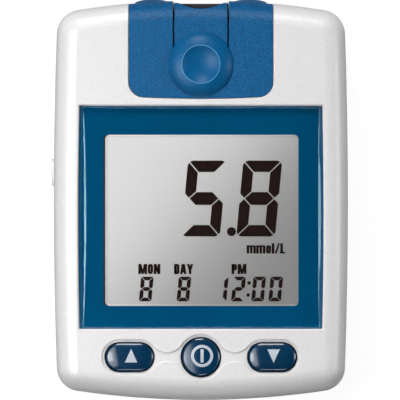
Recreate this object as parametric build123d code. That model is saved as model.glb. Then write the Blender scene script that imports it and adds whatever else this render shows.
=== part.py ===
from build123d import *

import os
from math import radians, sin, sqrt, tan

# A hand-held blood glucose meter, lying on its back.
# Origin: centre of the case's outline, on the flat of its back.
# +X to the right seen from the front, +Y towards the strip port, +Z out of the display.
# All sizes in millimetres.

# ---- driving dimensions -----------------------------------------------------------------

# case outline
side_margin = 5.6             # case either side of the lens
end_to_lens = 23.0            # strip end of the case to the lens
lens_to_keys = 6.14           # lens to the centres of the keys
keys_to_end = 9.33            # centres of the keys to the other end
side_bow = 0.9                # how far a long side bows out
strip_end_bow = 3.1
key_end_bow = 2.8
front_blend = 4.55            # border of the front: a narrow bevel, then a rounded edge
front_bevel = 0.45            # how much of it is bevel
front_bevel_angle = 9
rear_blend = 3.5
strip_corner_extra = 0.9      # outline corner radius over the border
key_corner_extra = 0.6

# walls
case_wall = 2.0
lip_wall = 1.0
lip_height = 1.5
cover_wall = 1.6
ledge_wall = 1.2              # case under the cover
seat_wall = 0.9               # case under the lens
seat_margin = 0.9             # and beyond the lens
boss_wall = 1.3
rib_wall = 0.8

# clearances
seam_gap = 0.1
panel_gap = 0.15              # around the cover, the lens and the door
slide_gap = 0.2
key_gap = 0.3
part_gap = 0.1                # between parts inside
screw_gap = 0.1               # between a screw and its hole
edge_break = 0.12             # bevel round the mouths of pockets and key holes

# display
window_width = 42.4
window_length = 37.2
window_corner = 1.0
window_to_lens_side = 5.2     # printed border round the clear window
window_to_lens_top = 6.32
window_to_lens_foot = 5.01
lens_thickness = 1.6
lens_side_bow = 0.26
lens_crown = 0.35             # rise of the lens along its length
lens_bevel = 1.0
lens_bevel_depth = 0.45
film_thickness = 0.15
window_margin = 1.0           # opening in the case beyond the clear window
glass_margin = 2.5            # display glass beyond the clear window
glass_ledge = 2.0             # contact ledge at each end of the display
glass_thickness = 1.1
polariser_thickness = 0.2
polariser_margin = 0.3
zebra_width = 1.4
zebra_margin = 1.0
polariser_to_board = 0.7

# cover
cover_width = 31.3
cover_length = 20.9           # from the case's end to the cover's lower corners
cover_bow = 0.5
cover_corner = 3.3
cover_sink = 0.1
ear_spacing = 21.0            # two raised ears on the cover's end
ear_width = 7.6
ear_height = 0.7
peg_diameter = 2.0
peg_length = 1.7
peg_inset = 2.6               # pegs to the cover's sides
peg_rise = 3.6                # pegs to the cover's lower corners

# slider
tongue_width = 11.46
slit_width = 0.4
scoop_radius = 10.0
scoop_depth = 1.9
knob_diameter = 13.95
knob_from_end = 14.0
knob_height = 1.75
knob_side = 0.45
knob_bulge = 0.35             # swell of the knob's flank over a straight cone
knob_gap = 0.12
dish_diameter = 8.2
dish_depth = 1.0
stem_diameter = 3.6
stem_floor = 0.3
slider_travel = 4.5
slider_tail = 3.4             # tongue below the knob's centre
flange_reach = 3.2            # flange beyond the tongue, each side
flange_foot = 1.0             # and below it
flange_wall = 1.0
finger_width = 2.0
finger_wall = 1.0
rail_wall = 1.0
rail_overlap = 1.1
lug_wall = 1.2
return_spring_diameter = 2.2
return_spring_wire = 0.35
return_spring_turns = 6

# strip port
strip_width = 6.0
strip_slack = 0.15
strip_depth = 7.0             # how far a strip goes into the connector
strip_slot_height = 1.2
strip_slot_rise = 0.8         # slot's floor above the board
port_width = 12.0
port_inset = 0.8              # port's flat face behind the case's end
port_length = 3.6
port_skirt = 3.0              # port's wings below the board's front
port_wing = 2.5
port_wing_wall = 0.8
port_flare = 0.7
port_flare_depth = 1.2
port_channel_width = 9.4      # channel down the case's end below the port
port_channel_splay = 2.5      # its sides go out by this for each 1 towards the end
spring_cover_wall = 0.6       # covers over the return springs, under the slider's slits
spring_cover_width = 2.0
connector_wall = 1.55
connector_height = 2.9
contact_width = 0.5
contact_wall = 0.15
contact_pitch = 1.0
contact_length = 5.4
contact_foot = 1.2
contact_crest = 0.45
contact_groove = 0.6

# keys
key_pitch = 15.5
pill_width = 10.3
pill_height = 5.95
round_key_diameter = 8.2
key_rise = 0.8                # top of a key above the case
key_rim = 0.35                # bevel round a key's face
key_rim_rise = 0.24
key_dome_rise = 0.6           # a key's face swells from its rim to its middle line
key_travel = 0.6
key_air = 0.05                # carbon pill to the board with the key down
key_flange = 0.7
key_flange_wall = 0.8
recess_margin = 0.9
recess_depth = 0.3
recess_bite_radius = 3.8
mat_wall = 0.8
mat_length = 10.4
mat_to_boss = 0.55            # keypad mat to the case's screw bosses
mat_corner = 1.0
plunger_diameter = 4.4
carbon_diameter = 3.2
carbon_thickness = 0.35
dome_reach = 1.4
dome_rise = 1.4
dome_wall = 0.35

# side key
side_key_length = 5.8
side_key_height = 3.2
side_key_rise = 0.5
side_key_dome_span = 7.5      # chord of its domed face
side_key_to_lens_end = 14.5
side_key_travel = 0.5
side_key_flange = 0.7
side_key_flange_wall = 0.8
side_dish_depth = 0.3
side_dish_diameter = 8.2
side_switch_height = 2.2
side_switch_length = 6.0
side_switch_depth = 3.2
side_switch_inset = 0.4
actuator_width = 1.2
actuator_length = 1.6
actuator_reach = 0.6          # actuator beyond the switch's face

# cells and bay
cell_diameter = 10.3
cell_length = 44.5
cell_edge = 0.5
cell_nub_diameter = 3.8
cell_nub_length = 1.0
cell_gap = 0.35
cell_spring_diameter = 6.0
cell_spring_length = 2.8
cell_spring_wire = 0.5
cell_spring_turns = 3
plate_wall = 0.4
plate_width = 8.0
plate_height = 7.2
tab_width = 2.0
bay_wall = 1.2
bay_roof = 1.0
bay_from_end = 5.5            # bay's outer end wall to the case's key end
cradle_drop = 2.2
cradle_places = (0.25, 0.75)  # along the bay

# battery door
door_wall = 1.9
door_margin = 1.3             # door beyond the bay's walls, each side
door_overlap = 1.5            # door beyond the bay's upper wall
door_skirt = 5.5              # height that the door turns up over the end
door_rail_width = 0.9
door_rail_height = 0.6
door_rail_root = 0.5
latch_width = 2.4
latch_reach = 1.8
latch_root = 4.0
latch_wall = 0.8
grip_count = 5
grip_from_edge = 5.0
grip_pitch = 1.8
grip_width = 0.8
grip_length = 12.0
grip_taper = 1.2              # each bar shorter than the one before
grip_depth = 0.4

# board
board_thickness = 1.0
board_side_inset = 2.9
board_strip_inset = 5.0
board_key_inset = 4.0
board_corner = 1.0
board_notch_gap = 0.4
chip_size = 9.0
chip_height = 1.3
chip_standoff = 0.1
chip_leads = 9
chip_lead_width = 0.35
chip_lead_length = 0.7
chip_from_lens_middle = 4.0
parts_from_bay = 1.6          # chip and buzzer to the bay
buzzer_diameter = 10.0
buzzer_height = 3.0
buzzer_hole = 1.6
buzzer_hole_depth = 1.0
buzzer_from_lens_middle = -14.0
crystal_diameter = 2.0
crystal_length = 6.0
crystal_from_lens_middle = -8.0
passive_count = 5
passive_length = 2.0
passive_width = 1.2
passive_height = 0.9
passive_pitch = 3.2
passive_from_lens_middle = 14.0
passive_from_bay = 4.0

# screws
case_screw_inset_x = 6.2
case_screw_strip_inset = 8.7
case_screw_key_inset = 7.5
case_screw_diameter = 1.9
case_screw_head_diameter = 3.8
case_screw_head_height = 1.6
case_screw_sunk = 1.2
case_screw_bite = 6.0
board_screw_diameter = 1.5
board_screw_head_diameter = 2.8
board_screw_head_height = 0.9
board_screw_bite = 1.8
board_screw_margin = 2.6
post_diameter = 3.6

# construction
past = 1.0                    # how far a cut runs past what it cuts
merge = 0.2                   # how far joined solids run into each other

# ---- sizes that follow ------------------------------------------------------------------

# through the thickness, from the back up: door, cell, bay roof, board, display, lens
cell_z = door_wall + cell_gap + cell_diameter / 2
roof_z = cell_z + cell_diameter / 2 + cell_gap / 2
board_z = roof_z + bay_roof + part_gap
board_top = board_z + board_thickness
rear_polariser_z = board_top + polariser_to_board
rear_glass_z = rear_polariser_z + polariser_thickness
front_glass_z = rear_glass_z + glass_thickness
front_polariser_z = front_glass_z + glass_thickness
seat_z = front_polariser_z + polariser_thickness
adhesive_z = seat_z + seat_wall
mask_z = adhesive_z + film_thickness
lens_z = mask_z + film_thickness
case_depth = lens_z + lens_thickness
inner_top = case_depth - case_wall

# width and length
lens_width = window_width + 2 * window_to_lens_side
lens_length = window_to_lens_top + window_length + window_to_lens_foot
case_width = lens_width + 2 * side_margin
case_length = end_to_lens + lens_length + lens_to_keys + keys_to_end
strip_end = case_length / 2
key_end = -case_length / 2
strip_corner = front_blend + strip_corner_extra
key_corner = front_blend + key_corner_extra
bevel_slope = tan(radians(front_bevel_angle))
edge_radius = (front_blend - front_bevel) / (1 - sin(radians(front_bevel_angle)))
strip_end_radius = ((case_width / 2) ** 2 + strip_end_bow ** 2) / (2 * strip_end_bow)

# display
lens_top = strip_end - end_to_lens
lens_y = lens_top - lens_length / 2
window_y = lens_top - window_to_lens_top - window_length / 2
glass_width = window_width + 2 * glass_margin
front_glass_length = window_length + 2 * glass_margin
rear_glass_length = front_glass_length - 2 * glass_ledge

# keys
key_y = key_end + keys_to_end
key_places = {"up": -key_pitch, "power": 0.0, "down": key_pitch}
key_flange_z = inner_top - part_gap - key_flange_wall
carbon_z = board_top + key_travel + key_air
mat_top = board_top + mat_wall
mat_width = case_width - 2 * case_screw_inset_x - case_screw_diameter - 2 * (boss_wall + mat_to_boss)
side_key_y = lens_top - side_key_to_lens_end
side_key_z = board_z - side_switch_height / 2
parting_z = side_key_z - side_key_height / 2 - lip_height - 2 * seam_gap

# cover, slider and port
cover_low = strip_end - cover_length
cover_under = case_depth - cover_wall
ledge_z = cover_under - ledge_wall
knob_y = strip_end - knob_from_end
knob_base = case_depth - cover_sink + knob_gap
tongue_low = knob_y - slider_tail
channel_low = tongue_low - slit_width
flange_top = cover_under - part_gap
flange_z = flange_top - flange_wall
flange_width = tongue_width + 2 * flange_reach
flange_low = tongue_low - flange_foot
channel_width = flange_width + 2 * slide_gap
port_face = strip_end - port_inset
port_top = flange_z - slide_gap - part_gap
port_back = port_face - port_length
strip_z = board_top + strip_slot_rise
connector_width = strip_width + 2 * strip_slack + 2 * connector_wall
connector_front = port_back - part_gap
connector_length = strip_depth + connector_wall
connector_back = connector_front - connector_length
finger_y = port_back - strip_depth - finger_wall - slide_gap
finger_z = strip_z - slide_gap
spring_x = (connector_width + return_spring_diameter) / 2 + 2 * slide_gap
spring_z = board_top + return_spring_diameter / 2 + slide_gap
lug_y = knob_y - lug_wall

# bay and door
bay_width = 2 * cell_diameter + 4 * cell_gap
bay_length = cell_length + cell_spring_length + 2 * plate_wall + 2 * cell_gap
bay_half = bay_width / 2
bay_low = key_end + bay_from_end + bay_wall
bay_high = bay_low + bay_length
bay_floor = door_wall + panel_gap
cell_x = cell_diameter / 2 + cell_gap
door_half = bay_half + bay_wall + door_margin
door_high = bay_high + bay_wall + door_overlap
doorway_half = door_half + panel_gap
doorway_high = door_high + panel_gap

# board
board_width = case_width - 2 * (case_wall + board_side_inset)
board_high = strip_end - board_strip_inset
board_low = key_end + board_key_inset
switch_x = side_switch_inset - board_width / 2

case_screw_places = [
    (side * (case_width / 2 - case_screw_inset_x), y)
    for side in (-1, 1)
    for y in (strip_end - case_screw_strip_inset, key_end + case_screw_key_inset)
]
board_screw_places = [
    (side * (glass_width / 2 + post_diameter / 2 + part_gap), y)
    for side in (-1, 1)
    for y in (
        lens_top + board_screw_margin,
        window_y - front_glass_length / 2 - board_screw_margin,
    )
]
peg_places = [(side * (cover_width / 2 - peg_inset), cover_low + peg_rise) for side in (-1, 1)]


# ---- helpers ----------------------------------------------------------------------------

def bow_radius(span, bow):
    """Radius of an arc that bows by bow over a chord of span."""
    return ((span / 2) ** 2 + bow ** 2) / (2 * bow)


def block(x0, x1, y0, y1, z0, z1):
    """Box between two opposite corners, given in either order."""
    size = Box(abs(x1 - x0), abs(y1 - y0), abs(z1 - z0))
    return Pos((x0 + x1) / 2, (y0 + y1) / 2, (z0 + z1) / 2) * size


def slab(z0, z1):
    """Block wider than the case, between two heights."""
    return block(-case_width, case_width, -case_length, case_length, z0, z1)


def post(x, y, diameter, z0, z1):
    """Upright cylinder from z0 to z1."""
    return Pos(x, y, (z0 + z1) / 2) * Cylinder(diameter / 2, z1 - z0)


def prism(sketch, z0, z1):
    """Sketch in XY extruded from z0 to z1."""
    return extrude(Pos(0, 0, z0) * sketch, z1 - z0)


def both_sides(solid):
    """The solid and its mirror image across the middle of the meter."""
    return solid + mirror(solid, Plane.YZ)


def coil(diameter, wire, turns, length):
    """Compression spring of hexagonal wire, standing on the origin along +Z."""
    rise = length - wire
    path = Helix(pitch=rise / turns, height=rise, radius=(diameter - wire) / 2)
    section = Plane(path @ 0, z_dir=path % 0) * RegularPolygon(wire / 2, 6)
    return Pos(0, 0, wire / 2) * sweep(section, path=path, is_frenet=True)


def case_outline(inset=0.0):
    """Four bowed sides with rounded corners, drawn in by inset."""
    side = bow_radius(case_length, side_bow)
    strip = strip_end_radius
    key = bow_radius(case_width, key_end_bow)
    right = Pos(case_width / 2 - side, 0) * Rot(0, 0, 180) * Circle(side - inset)
    left = Pos(side - case_width / 2, 0) * Circle(side - inset)
    upper = Pos(0, strip_end - strip) * Rot(0, 0, -90) * Circle(strip - inset)
    lower = Pos(0, key_end + key) * Rot(0, 0, 90) * Circle(key - inset)
    outline = right & left & upper & lower
    outline = fillet(outline.vertices().group_by(Axis.Y)[-1], strip_corner - inset)
    return fillet(outline.vertices().group_by(Axis.Y)[0], key_corner - inset)


def case_block(inset=0.0):
    """The whole case as one block with its edges bevelled and rounded, drawn in by inset all round."""
    top = case_depth - inset
    reach = front_blend - inset
    drop = reach * bevel_slope
    body = prism(case_outline(inset), inset, top)
    face = body.faces().sort_by(Axis.Z)[-1]
    body = chamfer(face.edges(), reach, drop, reference=face)
    rim = body.edges().filter_by_position(Axis.Z, top - drop - part_gap, top - drop + part_gap)
    body = fillet(rim, edge_radius - inset)
    return fillet(body.faces().sort_by(Axis.Z)[0].edges(), rear_blend - inset)


def flare(sketch, z):
    """Cutter for the bevel round a pocket's mouth at height z."""
    return extrude(Pos(0, 0, z - edge_break) * sketch, 2 * edge_break, taper=-45)


def port_channel():
    """Shallow channel with sloping sides down the case's end, in line with the port."""
    half = port_channel_width / 2
    wide = half + port_channel_splay * (port_inset + past)
    corners = [(-half, port_face), (half, port_face), (wide, strip_end + past), (-wide, strip_end + past)]
    return prism(make_face(Polyline(*corners, close=True)), -past, case_depth)


def lens_outline(grow=0.0):
    """The lens's outline: straight ends, sides that bow a little."""
    radius = bow_radius(lens_length, lens_side_bow)
    middle = lens_width / 2 + lens_side_bow
    right = Pos(middle - radius, lens_y) * Rot(0, 0, 180) * Circle(radius + grow)
    left = Pos(radius - middle, lens_y) * Circle(radius + grow)
    return right & left & Pos(0, lens_y) * Rectangle(2 * lens_width, lens_length + 2 * grow)


def window_shape(grow=0.0):
    """The clear window's outline."""
    size = (window_width + 2 * grow, window_length + 2 * grow)
    return Pos(0, window_y) * RectangleRounded(*size, window_corner + grow)


def cover_outline(grow=0.0):
    """The cover's outline: straight sides, a bowed lower edge, open past the strip end."""
    radius = bow_radius(cover_width, cover_bow)
    disc = Pos(0, cover_low - cover_bow + radius) * Rot(0, 0, 90) * Circle(radius + grow)
    band = Pos(0, strip_end) * Rectangle(cover_width + 2 * grow, 3 * cover_length)
    return fillet((disc & band).vertices().group_by(Axis.Y)[0], cover_corner + grow)


def under_cover(grow=0.0):
    """The stretch of the strip end where the cover comes down instead of the lip."""
    half = cover_width / 2 + ledge_wall + grow
    return block(-half, half, cover_low, strip_end + past, parting_z - seam_gap / 2, case_depth)


def scoop():
    """Round bite in the tongue's end, over the strip port."""
    y = strip_end - scoop_depth + scoop_radius
    return post(0, y, 2 * scoop_radius, flange_z - past, case_depth + past)


def key_outline(name, grow=0.0):
    """A key's outline about its own centre."""
    if name == "power":
        return Circle(round_key_diameter / 2 + grow)
    return SlotOverall(pill_width + 2 * grow, pill_height + 2 * grow)


def key_recess():
    """The shallow dish round the three keys: their outlines joined by waisted necks."""
    shape = Circle(round_key_diameter / 2 + recess_margin)
    inner = round_key_diameter / 2 + recess_margin + recess_bite_radius
    outer = pill_height / 2 + recess_margin + recess_bite_radius
    pill_end = key_pitch - (pill_width - pill_height) / 2
    bite_x = (inner ** 2 - outer ** 2 + pill_end ** 2) / (2 * pill_end)
    bite_y = sqrt(inner ** 2 - bite_x ** 2)
    for side in (-1, 1):
        x = side * bite_x
        shape += Pos(side * key_pitch, 0) * key_outline("up", recess_margin)
        neck = make_face(Polyline((0, 0), (x, bite_y), (side * pill_end, 0), (x, -bite_y), close=True))
        for end in (-1, 1):
            neck -= Pos(x, end * bite_y) * Circle(recess_bite_radius)
        shape += neck
    return Pos(0, key_y) * shape


def side_dish():
    """Shallow round dish in the left wall, for the fingertip on the side key."""
    radius = bow_radius(side_dish_diameter, side_dish_depth)
    return Pos(side_dish_depth - case_width / 2 - radius, side_key_y, side_key_z) * Sphere(radius)


def side_key_slot(grow=0.0):
    """The side key's outline, as a solid along X through the left wall."""
    sketch = SlotOverall(side_key_length + 2 * grow, side_key_height + 2 * grow)
    wall = Plane.YZ.offset(-case_width / 2 - past) * Pos(side_key_y, side_key_z) * sketch
    return extrude(wall, case_wall + 3 * past)


# ---- case -------------------------------------------------------------------------------

def slider_rails():
    """Two rails under the cover that carry the slider's flange."""
    under = flange_z - slide_gap / 2
    inner, step = flange_width / 2 - rail_overlap, channel_width / 2
    low, high = flange_low - slide_gap - rail_wall, port_back - rail_wall
    shelf = block(inner, step + rail_wall, low, high, under - rail_wall, under)
    wall = block(step, step + rail_wall, low, high, under - rail_wall / 2, ledge_z + merge)
    return both_sides(shelf + wall)


def make_front_case():
    outer = case_block() - slab(-past, parting_z + seam_gap / 2)
    shell = outer - case_block(case_wall)

    # thicker floor under the lens, a ledge under the cover, bosses, posts and rails
    shell += prism(lens_outline(seat_margin), seat_z, inner_top)
    ledge = case_block(cover_wall) - case_block(cover_wall + ledge_wall)
    ledge -= slab(-past, parting_z + lip_height + 2 * seam_gap)
    shell += prism(cover_outline(2 * ledge_wall), parting_z, case_depth) & ledge
    for x, y in case_screw_places:
        boss = post(x, y, case_screw_diameter + 2 * boss_wall, parting_z + seam_gap, inner_top)
        shell += boss & case_block(case_wall / 2)
    for x, y in board_screw_places:
        shell += post(x, y, post_diameter, board_top, seat_z + seat_wall / 2)
    shell += slider_rails()

    # cover step, lens pocket, display opening, slider channel and strip port
    cover_step = prism(cover_outline(panel_gap), parting_z, case_depth + past)
    shell -= cover_step & (outer - case_block(cover_wall))
    shell -= prism(lens_outline(panel_gap), adhesive_z, case_depth + past)
    shell -= flare(lens_outline(panel_gap), case_depth)
    shell -= flare(cover_outline(panel_gap), case_depth)
    shell -= prism(window_shape(window_margin), seat_z - past, case_depth)
    channel = channel_width / 2
    channel_floor = flange_z - slide_gap / 2
    shell -= block(-channel, channel, flange_low - slide_gap, strip_end, channel_floor, case_depth)
    port = port_width / 2 + panel_gap
    inside = port_back - case_wall
    shell -= block(-port, port, inside, strip_end + past, parting_z - past, case_depth)
    for x, y in peg_places:
        shell -= post(x, y, peg_diameter + 2 * part_gap, ledge_z - past, case_depth)

    # keys
    shell -= prism(key_recess(), case_depth - recess_depth, case_depth + past)
    for name, x in key_places.items():
        hole = Pos(x, key_y) * key_outline(name, key_gap)
        shell -= prism(hole, inner_top - past, case_depth + past)
        shell -= flare(hole, case_depth - recess_depth)
    shell -= side_dish()
    shell -= side_key_slot(slide_gap)

    # rebate for the rear case's lip, and screw holes
    rebate_top = parting_z + lip_height + seam_gap
    rebate = prism(case_outline(lip_wall - seam_gap), parting_z - past, rebate_top)
    rebate -= prism(case_outline(case_wall), parting_z - 2 * past, case_depth)
    shell -= rebate - under_cover()
    for x, y in case_screw_places:
        hole_top = parting_z + case_screw_bite + past
        shell -= post(x, y, case_screw_diameter + screw_gap, 0, hole_top)
    for x, y in board_screw_places:
        shell -= post(x, y, board_screw_diameter + screw_gap, 0, board_top + board_screw_bite + merge)
    return shell


def door_grooves(grow=0.0):
    """Rails along the door's two edges; with grow, the grooves that they run in."""
    z = door_wall / 2
    half = door_rail_height / 2 + grow
    low = key_end - past if grow else key_end + rear_blend
    outer = door_half + door_rail_width + grow
    rail = block(door_half - door_rail_root, outer, low, door_high + grow, z - half, z + half)
    return both_sides(rail)


def bay_shell():
    """Walls and roof of the battery bay, with flanges over the edges of the doorway."""
    low, high = bay_low - bay_wall, bay_high + bay_wall
    outer_half, flange_half = bay_half + bay_wall, doorway_half + 2 * bay_wall
    flange_high = doorway_high + 2 * bay_wall
    bay = block(-outer_half, outer_half, low, high, bay_floor, roof_z + bay_roof)
    bay += block(-flange_half, flange_half, low, flange_high, bay_floor, bay_floor + bay_wall)
    bay -= block(-bay_half, bay_half, bay_low, bay_high, 0, roof_z)

    # the flanges stand on the case's floor outside the doorway
    root = case_wall / 2
    bay += both_sides(block(doorway_half, flange_half, low, door_high, root, bay_floor + merge))
    bay += block(-flange_half, flange_half, doorway_high, flange_high, root, bay_floor + merge)

    # ribs that hang from the roof and hold the cells down on the door
    half = bay_half + merge
    for share in cradle_places:
        y = bay_low + share * bay_length
        rib = block(-half, half, y, y + rib_wall, roof_z - cradle_drop, roof_z + merge)
        for side in (-1, 1):
            round_cell = Pos(side * cell_x, y, cell_z) * Rot(90, 0, 0)
            rib -= round_cell * Cylinder(cell_diameter / 2 + cell_gap / 2, 4 * rib_wall)
        bay += rib
    return bay


def make_rear_case():
    outer = case_block() - slab(parting_z - seam_gap / 2, case_depth + past)
    shell = outer - case_block(case_wall)
    lip = prism(case_outline(lip_wall), parting_z - lip_height, parting_z + lip_height)
    lip -= prism(case_outline(case_wall), 0, case_depth)
    shell += lip - under_cover(seam_gap)
    for x, y in case_screw_places:
        boss = post(x, y, case_screw_head_diameter + 2 * boss_wall, 0, parting_z - seam_gap / 2)
        shell += boss & (outer - slab(-past, case_wall / 2))

    # doorway, with its grooves and the turned-up end, then the bay
    low = key_end - past
    skirt_high = bay_low - bay_wall - past
    shell -= block(-doorway_half, doorway_half, low, skirt_high, -past, door_skirt + panel_gap)
    shell -= block(-doorway_half, doorway_half, low, doorway_high, -past, bay_floor)
    shell -= door_grooves(part_gap)
    shell += bay_shell() - door_grooves(part_gap)

    # stiffening ribs from the bay's flanges to the side walls
    for share in cradle_places:
        y = bay_low + share * bay_length
        rib = block(doorway_half + bay_wall, case_width / 2, y, y + rib_wall, 0, bay_floor + bay_wall)
        shell += both_sides(rib & case_block(case_wall / 2))

    # way for the latch, slots for the contacts' tabs, and screw holes
    latch = latch_width / 2 + slide_gap
    latch_top = bay_floor + latch_wall + slide_gap
    latch_end = door_high + latch_reach + slide_gap
    shell -= block(-latch, latch, key_end + case_wall, latch_end, bay_floor - part_gap, latch_top)
    tab = tab_width / 2 + part_gap
    for side in (-1, 1):
        x = side * cell_x
        shell -= block(x - tab, x + tab, bay_low, bay_low + plate_wall + part_gap, roof_z - merge, board_z)
    shell -= side_dish() + port_channel()
    for x, y in case_screw_places:
        head_top = case_screw_sunk + case_screw_head_height
        shell -= post(x, y, case_screw_head_diameter + 4 * screw_gap, -past, head_top)
        shell -= post(x, y, case_screw_diameter + 3 * screw_gap, -past, parting_z + past)
    return shell


def make_top_cover():
    skin = case_block(cover_sink) - case_block(cover_wall)
    skin -= slab(-past, parting_z + seam_gap)
    cover = prism(cover_outline(), parting_z, case_depth + past) & skin

    # two round ears on the end face, and two pegs underneath
    radius = bow_radius(ear_width, ear_height)
    ear_z = (parting_z + case_depth - front_blend) / 2
    ear_half, x = ear_width / 2, ear_spacing / 2
    end_y = strip_end - x ** 2 / (2 * strip_end_radius) - cover_sink
    ear = Pos(x, end_y + ear_height - radius, ear_z) * Sphere(radius)
    ear &= block(x - ear_half, x + ear_half, end_y - cover_wall / 2, strip_end + past,
                 parting_z + seam_gap, case_depth - front_blend / 2)
    cover += both_sides(ear)
    for x, y in peg_places:
        cover += post(x, y, peg_diameter, cover_under - peg_length, cover_under + merge)

    half = tongue_width / 2 + slit_width
    return cover - block(-half, half, channel_low, strip_end + past, parting_z, case_depth + past)


# ---- slider and strip port --------------------------------------------------------------

def make_ejector_slide():
    half, wide = tongue_width / 2, flange_width / 2
    skin = case_block(cover_sink) - case_block(cover_wall)
    low = port_top + slide_gap / 2
    tongue = skin & block(-half, half, tongue_low, strip_end + past, low, case_depth + past)

    # where the inside of the cover's bevel meets the top of the flange
    reach = strip_end - front_blend + part_gap / bevel_slope
    flange_high = reach - slider_travel - panel_gap - strip_end_bow / 4
    slide = tongue + block(-half, half, tongue_low, reach - panel_gap, flange_z, cover_under + merge)
    slide += block(-wide, wide, flange_low, flange_high, flange_z, flange_top)

    # finger behind the strip, and a lug for each return spring
    finger = finger_width / 2
    slide += block(-finger, finger, finger_y - finger_wall, finger_y, finger_z, flange_z + merge)
    lug = return_spring_diameter / 2
    slide += both_sides(
        block(spring_x - lug, spring_x + lug, lug_y, lug_y + lug_wall, spring_z - lug, flange_z + merge)
    )
    return slide - scoop() - post(0, knob_y, stem_diameter, flange_z + stem_floor, case_depth + past)


def make_ejector_knob():
    top = knob_base + knob_height
    outer, dish = knob_diameter / 2, dish_diameter / 2
    shoulder = knob_base + knob_side
    flank = ((outer + dish) / 2, (shoulder + top) / 2 + knob_bulge)
    profile = make_face(
        [
            Line((0, knob_base), (outer, knob_base)),
            Line((outer, knob_base), (outer, shoulder)),
            ThreePointArc((outer, shoulder), flank, (dish, top)),
            Line((dish, top), (0, top)),
            Line((0, top), (0, knob_base)),
        ]
    )
    knob = revolve(Plane.XZ * profile, Axis.Z)
    dish_radius = bow_radius(dish_diameter, dish_depth)
    knob -= Pos(0, 0, top + dish_radius - dish_depth) * Sphere(dish_radius)
    knob += post(0, 0, stem_diameter, flange_z + stem_floor, knob_base + merge)
    return Pos(0, knob_y) * knob


def make_ejector_springs():
    """Two springs between the slider's lugs and the port's wings."""
    seat = lug_y + lug_wall
    spring = coil(return_spring_diameter, return_spring_wire, return_spring_turns, port_back - seat)
    return [Pos(side * spring_x, seat, spring_z) * Rot(-90, 0, 0) * spring for side in (-1, 1)]


def make_port_insert():
    half, wing = port_width / 2, port_width / 2 + port_wing
    wing_top = spring_z + return_spring_diameter / 2 + part_gap
    insert = block(-half, half, port_back, port_face, parting_z + 2 * seam_gap, port_top)
    insert += block(-wing, wing, port_back, port_back + port_wing_wall, board_top - port_skirt, wing_top)

    # slot with a flared mouth
    slot = strip_width / 2 + 2 * strip_slack
    slot_top = strip_z + strip_slot_height
    insert -= block(-slot, slot, port_back - past, port_face + past, strip_z, slot_top)
    mouth = Rectangle(2 * (slot + port_flare), strip_slot_height + 2 * port_flare)
    throat = Rectangle(2 * slot, strip_slot_height)
    middle_z = (strip_z + slot_top) / 2
    front = Plane(origin=(0, port_face, middle_z), x_dir=(1, 0, 0), z_dir=(0, 1, 0))
    insert -= loft([front.offset(-port_flare_depth) * throat, front * mouth])

    # a cover over each return spring, from where the slider's lug stops
    inner = connector_width / 2 + slide_gap
    low = lug_y + lug_wall + slider_travel + slide_gap
    cover = block(inner, inner + spring_cover_width, low, port_back, port_top - spring_cover_wall, port_top)
    return [insert, cover, mirror(cover, Plane.YZ)]


def contact_places():
    """Contacts' places across the strip, clear of the slider's finger."""
    first = finger_width / 2 + 2 * slide_gap + contact_width / 2
    return [side * (first + step * contact_pitch) for side in (-1, 1) for step in (0, 1)]


def make_strip_connector():
    half, slot = connector_width / 2, strip_width / 2 + strip_slack
    top = board_top + connector_height
    body = block(-half, half, connector_back, connector_front, board_top, top)
    body -= block(-slot, slot, connector_back + connector_wall / 2, connector_front + past,
                  strip_z, strip_z + strip_slot_height)
    finger = finger_width / 2 + slide_gap
    finger_end = finger_y + slider_travel + slide_gap
    body -= block(-finger, finger, connector_back - past, finger_end, finger_z - slide_gap, top + past)
    groove = contact_width / 2 + part_gap
    for x in contact_places():
        body -= block(x - groove, x + groove, connector_back - past, connector_front - connector_wall,
                      board_top - past, strip_z + contact_groove)
    return body


def make_strip_contacts():
    """Four leaf contacts: foot on the board, rise, crest that wipes the strip, tail."""
    y, foot_z = connector_back, board_top + contact_wall
    crest_z, tail_z = strip_z + contact_crest, strip_z - contact_wall
    upper = [
        (y - contact_foot, foot_z),
        (y + contact_length * 0.1, foot_z),
        (y + contact_length * 0.6, crest_z),
        (y + contact_length * 0.8, crest_z),
        (y + contact_length, tail_z),
    ]
    lower = [(a, b - contact_wall) for a, b in reversed(upper)]
    profile = make_face(Plane.YZ * Polyline(*upper, *lower, close=True))
    contact = extrude(profile, contact_width / 2, both=True)
    return [Pos(x, 0, 0) * contact for x in contact_places()]


# ---- display ----------------------------------------------------------------------------

def make_display_lens():
    crown_radius = bow_radius(lens_length, lens_crown)
    blank = prism(lens_outline(), lens_z, case_depth + lens_crown)
    crown = Pos(0, lens_y, case_depth + lens_crown - crown_radius) * Rot(0, 90, 0)
    blank &= crown * Cylinder(crown_radius, 2 * lens_width)
    front = blank.faces().sort_by(Axis.Z)[-1]
    return chamfer(front.edges(), lens_bevel, lens_bevel_depth, reference=front)


def make_lens_mask():
    return prism(lens_outline(-part_gap) - window_shape(), mask_z, lens_z)


def make_lens_adhesive():
    return prism(lens_outline(-part_gap) - window_shape(window_margin), adhesive_z, mask_z)


def display_plate(length, z0, z1, trim=0.0):
    """Flat plate of the display's width, centred on the window."""
    plate = Pos(0, window_y) * Rectangle(glass_width - 2 * trim, length - 2 * trim)
    return prism(plate, z0, z1)


def make_zebra_strips():
    """Rubber connectors from the board to the ledges of the front glass."""
    offset_y = rear_glass_length / 2 + glass_ledge / 2
    strip = Rectangle(glass_width - 2 * zebra_margin, zebra_width)
    places = [window_y - offset_y, window_y + offset_y]
    return [prism(Pos(0, y) * strip, board_top, front_glass_z) for y in places]


# ---- keys -------------------------------------------------------------------------------

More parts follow.
